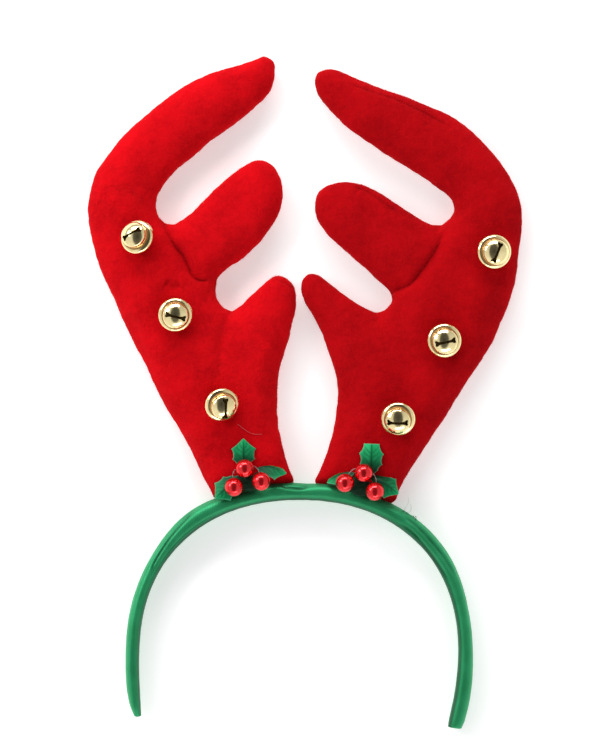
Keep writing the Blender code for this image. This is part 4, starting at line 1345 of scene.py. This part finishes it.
def build_sprigs(leaf_green, stalk_green_and_painted_shade, berry_red, wire):
    bead = berry_mesh(berry_red)
    for side in SIDES:
        build_stalks(side, stalk_green_and_painted_shade)
        for leaf in LEAVES[side]:
            build_leaf(side, leaf, leaf_green)
        for k, name in enumerate(("top", "inner", "outer")):
            node = f"berry_{side}_{name}"
            berry = object_of("red_" + node, bead, None)
            tip = Matrix.Rotation(math.radians(25 + 15 * k), 4, "X")
            rise = BERRY_RISES[side]
            berry.matrix_world = Matrix.Translation(middle_of(node) + Vector((0, rise, 0))) @ tip
            stands_for(berry, node)
        for name in ("inner", "outer"):
            route = stem_route(side, name)
            strands = [twisted(route, WIRE_RADIUS * 0.9, 4, phase) for phase in (0, math.pi)]
            stem = tube(f"twisted_stem_{side}_{name}", strands, WIRE_RADIUS * 0.8, wire, 2)
            stands_for(stem, f"stem_{side}_{name}")


# Studio


def area_light(lamp):
    data = bpy.data.lights.new(lamp.name, "AREA")
    data.shape = "RECTANGLE"
    data.size, data.size_y = lamp.size
    data.energy = lamp.power
    light = bpy.data.objects.new(lamp.name, data)
    bpy.context.scene.collection.objects.link(light)
    light.location = lamp.place
    light.rotation_mode = "QUATERNION"
    light.rotation_quaternion = (-Vector(lamp.place)).to_track_quat("-Z", "Y")


def build_floor():
    bpy.ops.mesh.primitive_plane_add(size=6, location=(0, 0, -0.02 * MM))
    floor = bpy.context.object
    floor.name = "floor"
    pale, paler = (0.86, 0.86, 0.86), (0.88, 0.88, 0.88)
    looks = {"roughness": 0.9, "specular_ior_level": 0.1, "emission_strength": 0.4}
    floor.data.materials.append(mottled_look("floor", 6, pale, paler, 3, **looks))


def build_world():
    """A pale room with a dark patch overhead, longest along Y, and brighter towards the band's legs."""
    world = bpy.data.worlds.new("studio")
    world.use_nodes = True
    nodes = Nodes(world.node_tree)
    place = nodes.node("TexCoord").outputs["Generated"]
    split = nodes.node("SeparateXYZ", {"Vector": place})
    squeeze = (1 / PATCH_HALF_WIDTH, 1 / PATCH_HALF_LENGTH, 0)
    squeezed = nodes.node("Mapping", {"Vector": place, "Scale": squeeze}).outputs["Vector"]
    away = nodes.node("VectorMath", {"Vector": squeezed}, operation="LENGTH").outputs["Value"]
    ramp = nodes.node("ValToRGB", {"Fac": away})
    marks = ramp.color_ramp.elements
    marks[0].position, marks[0].color = 0.0, (DARK_PATCH, DARK_PATCH, DARK_PATCH, 1)
    marks[1].position, marks[1].color = 1.0, (0.85, 0.85, 0.86, 1)
    for position, grey in ((0.75, 0.13), (0.88, 0.70)):
        marks.new(position).color = (grey, grey, grey, 1)
    nearer = nodes.remap(split.outputs["Y"], -1.0, 1.0, 1.1, 0.55)
    background = nodes.tree.nodes["Background"]
    nodes.tree.links.new(ramp.outputs["Color"], background.inputs["Color"])
    strength = nodes.maths("MULTIPLY", nearer, WORLD_STRENGTH)
    nodes.tree.links.new(strength, background.inputs["Strength"])
    bpy.context.scene.world = world


def build_camera():
    data = bpy.data.cameras.new("camera")
    camera = bpy.data.objects.new("camera", data)
    bpy.context.scene.collection.objects.link(camera)
    middle = from_photo(*MIDDLE_PIXEL)
    camera.location = (middle.x, middle.y, CAMERA_HEIGHT)
    data.sensor_width = SENSOR
    data.lens = SENSOR * (CAMERA_HEIGHT - SEAM_HEIGHT) / (PICTURE_HEIGHT * PIXEL)
    data.clip_start, data.clip_end = 0.05, 10
    bpy.context.scene.camera = camera


def build_studio():
    build_floor()
    build_world()
    for lamp in LAMPS:
        area_light(lamp)
    build_camera()
    scene = bpy.context.scene
    scene.view_settings.view_transform = "Standard"
    scene.view_settings.look = "None"


def main():
    build_studio()
    soft = {"roughness": 0.95, "sheen_weight": 0.1, "sheen_roughness": 0.5, "specular_ior_level": 0.1}
    fibre = mottled_look("felt_fibre", 300, (0.48, 0.004, 0.008), (0.70, 0.014, 0.016), **soft)
    left = build_antler("left", felt_look("felt", 0.0), fibre)
    # The right antler's felt carries painted shade all over.
    build_antler("right", felt_look("felt_painted_shade", 0.30), fibre)
    build_stray_hair(left, thread_look("stray_hair", (0.60, 0.10, 0.12), (0.75, 0.22, 0.22)))
    build_band(satin_look())
    green_thread = thread_look("green_thread", (0.010, 0.12, 0.045), (0.03, 0.22, 0.09))
    build_snag(green_thread, thread_look("hair", (0.10, 0.18, 0.14), (0.25, 0.36, 0.30)))
    red_thread = thread_look("red_thread", (0.35, 0.004, 0.008), (0.6, 0.01, 0.015))
    dull = {"metallic": 0.7, "roughness": 0.5}
    inside = mottled_look("bell_inside", 400, (0.45, 0.34, 0.15), (0.65, 0.50, 0.22), **dull)
    # Painted shade and reflection of the red felt in the recess inside each bell's rim.
    groove_metal = {"metallic": 0.6, "roughness": 0.4}
    painted_groove_reflection = mottled_look("gold_groove", 600, (0.22, 0.085, 0.02), (0.38, 0.18, 0.045), **groove_metal)
    build_bells(gold_look(), inside, painted_groove_reflection, red_thread)
    # Dark green tape, made near black as painted shade under the berries.
    stalk_green_and_painted_shade = thread_look("stalk_tape_and_painted_shade", (0.001, 0.012, 0.005), (0.003, 0.040, 0.015))
    bright = {"metallic": 1.0, "roughness": 0.3}
    wire = mottled_look("wire", 900, (0.26, 0.17, 0.17), (0.44, 0.32, 0.32), **bright)
    build_sprigs(leaf_look(), stalk_green_and_painted_shade, berry_look(), wire)


main()
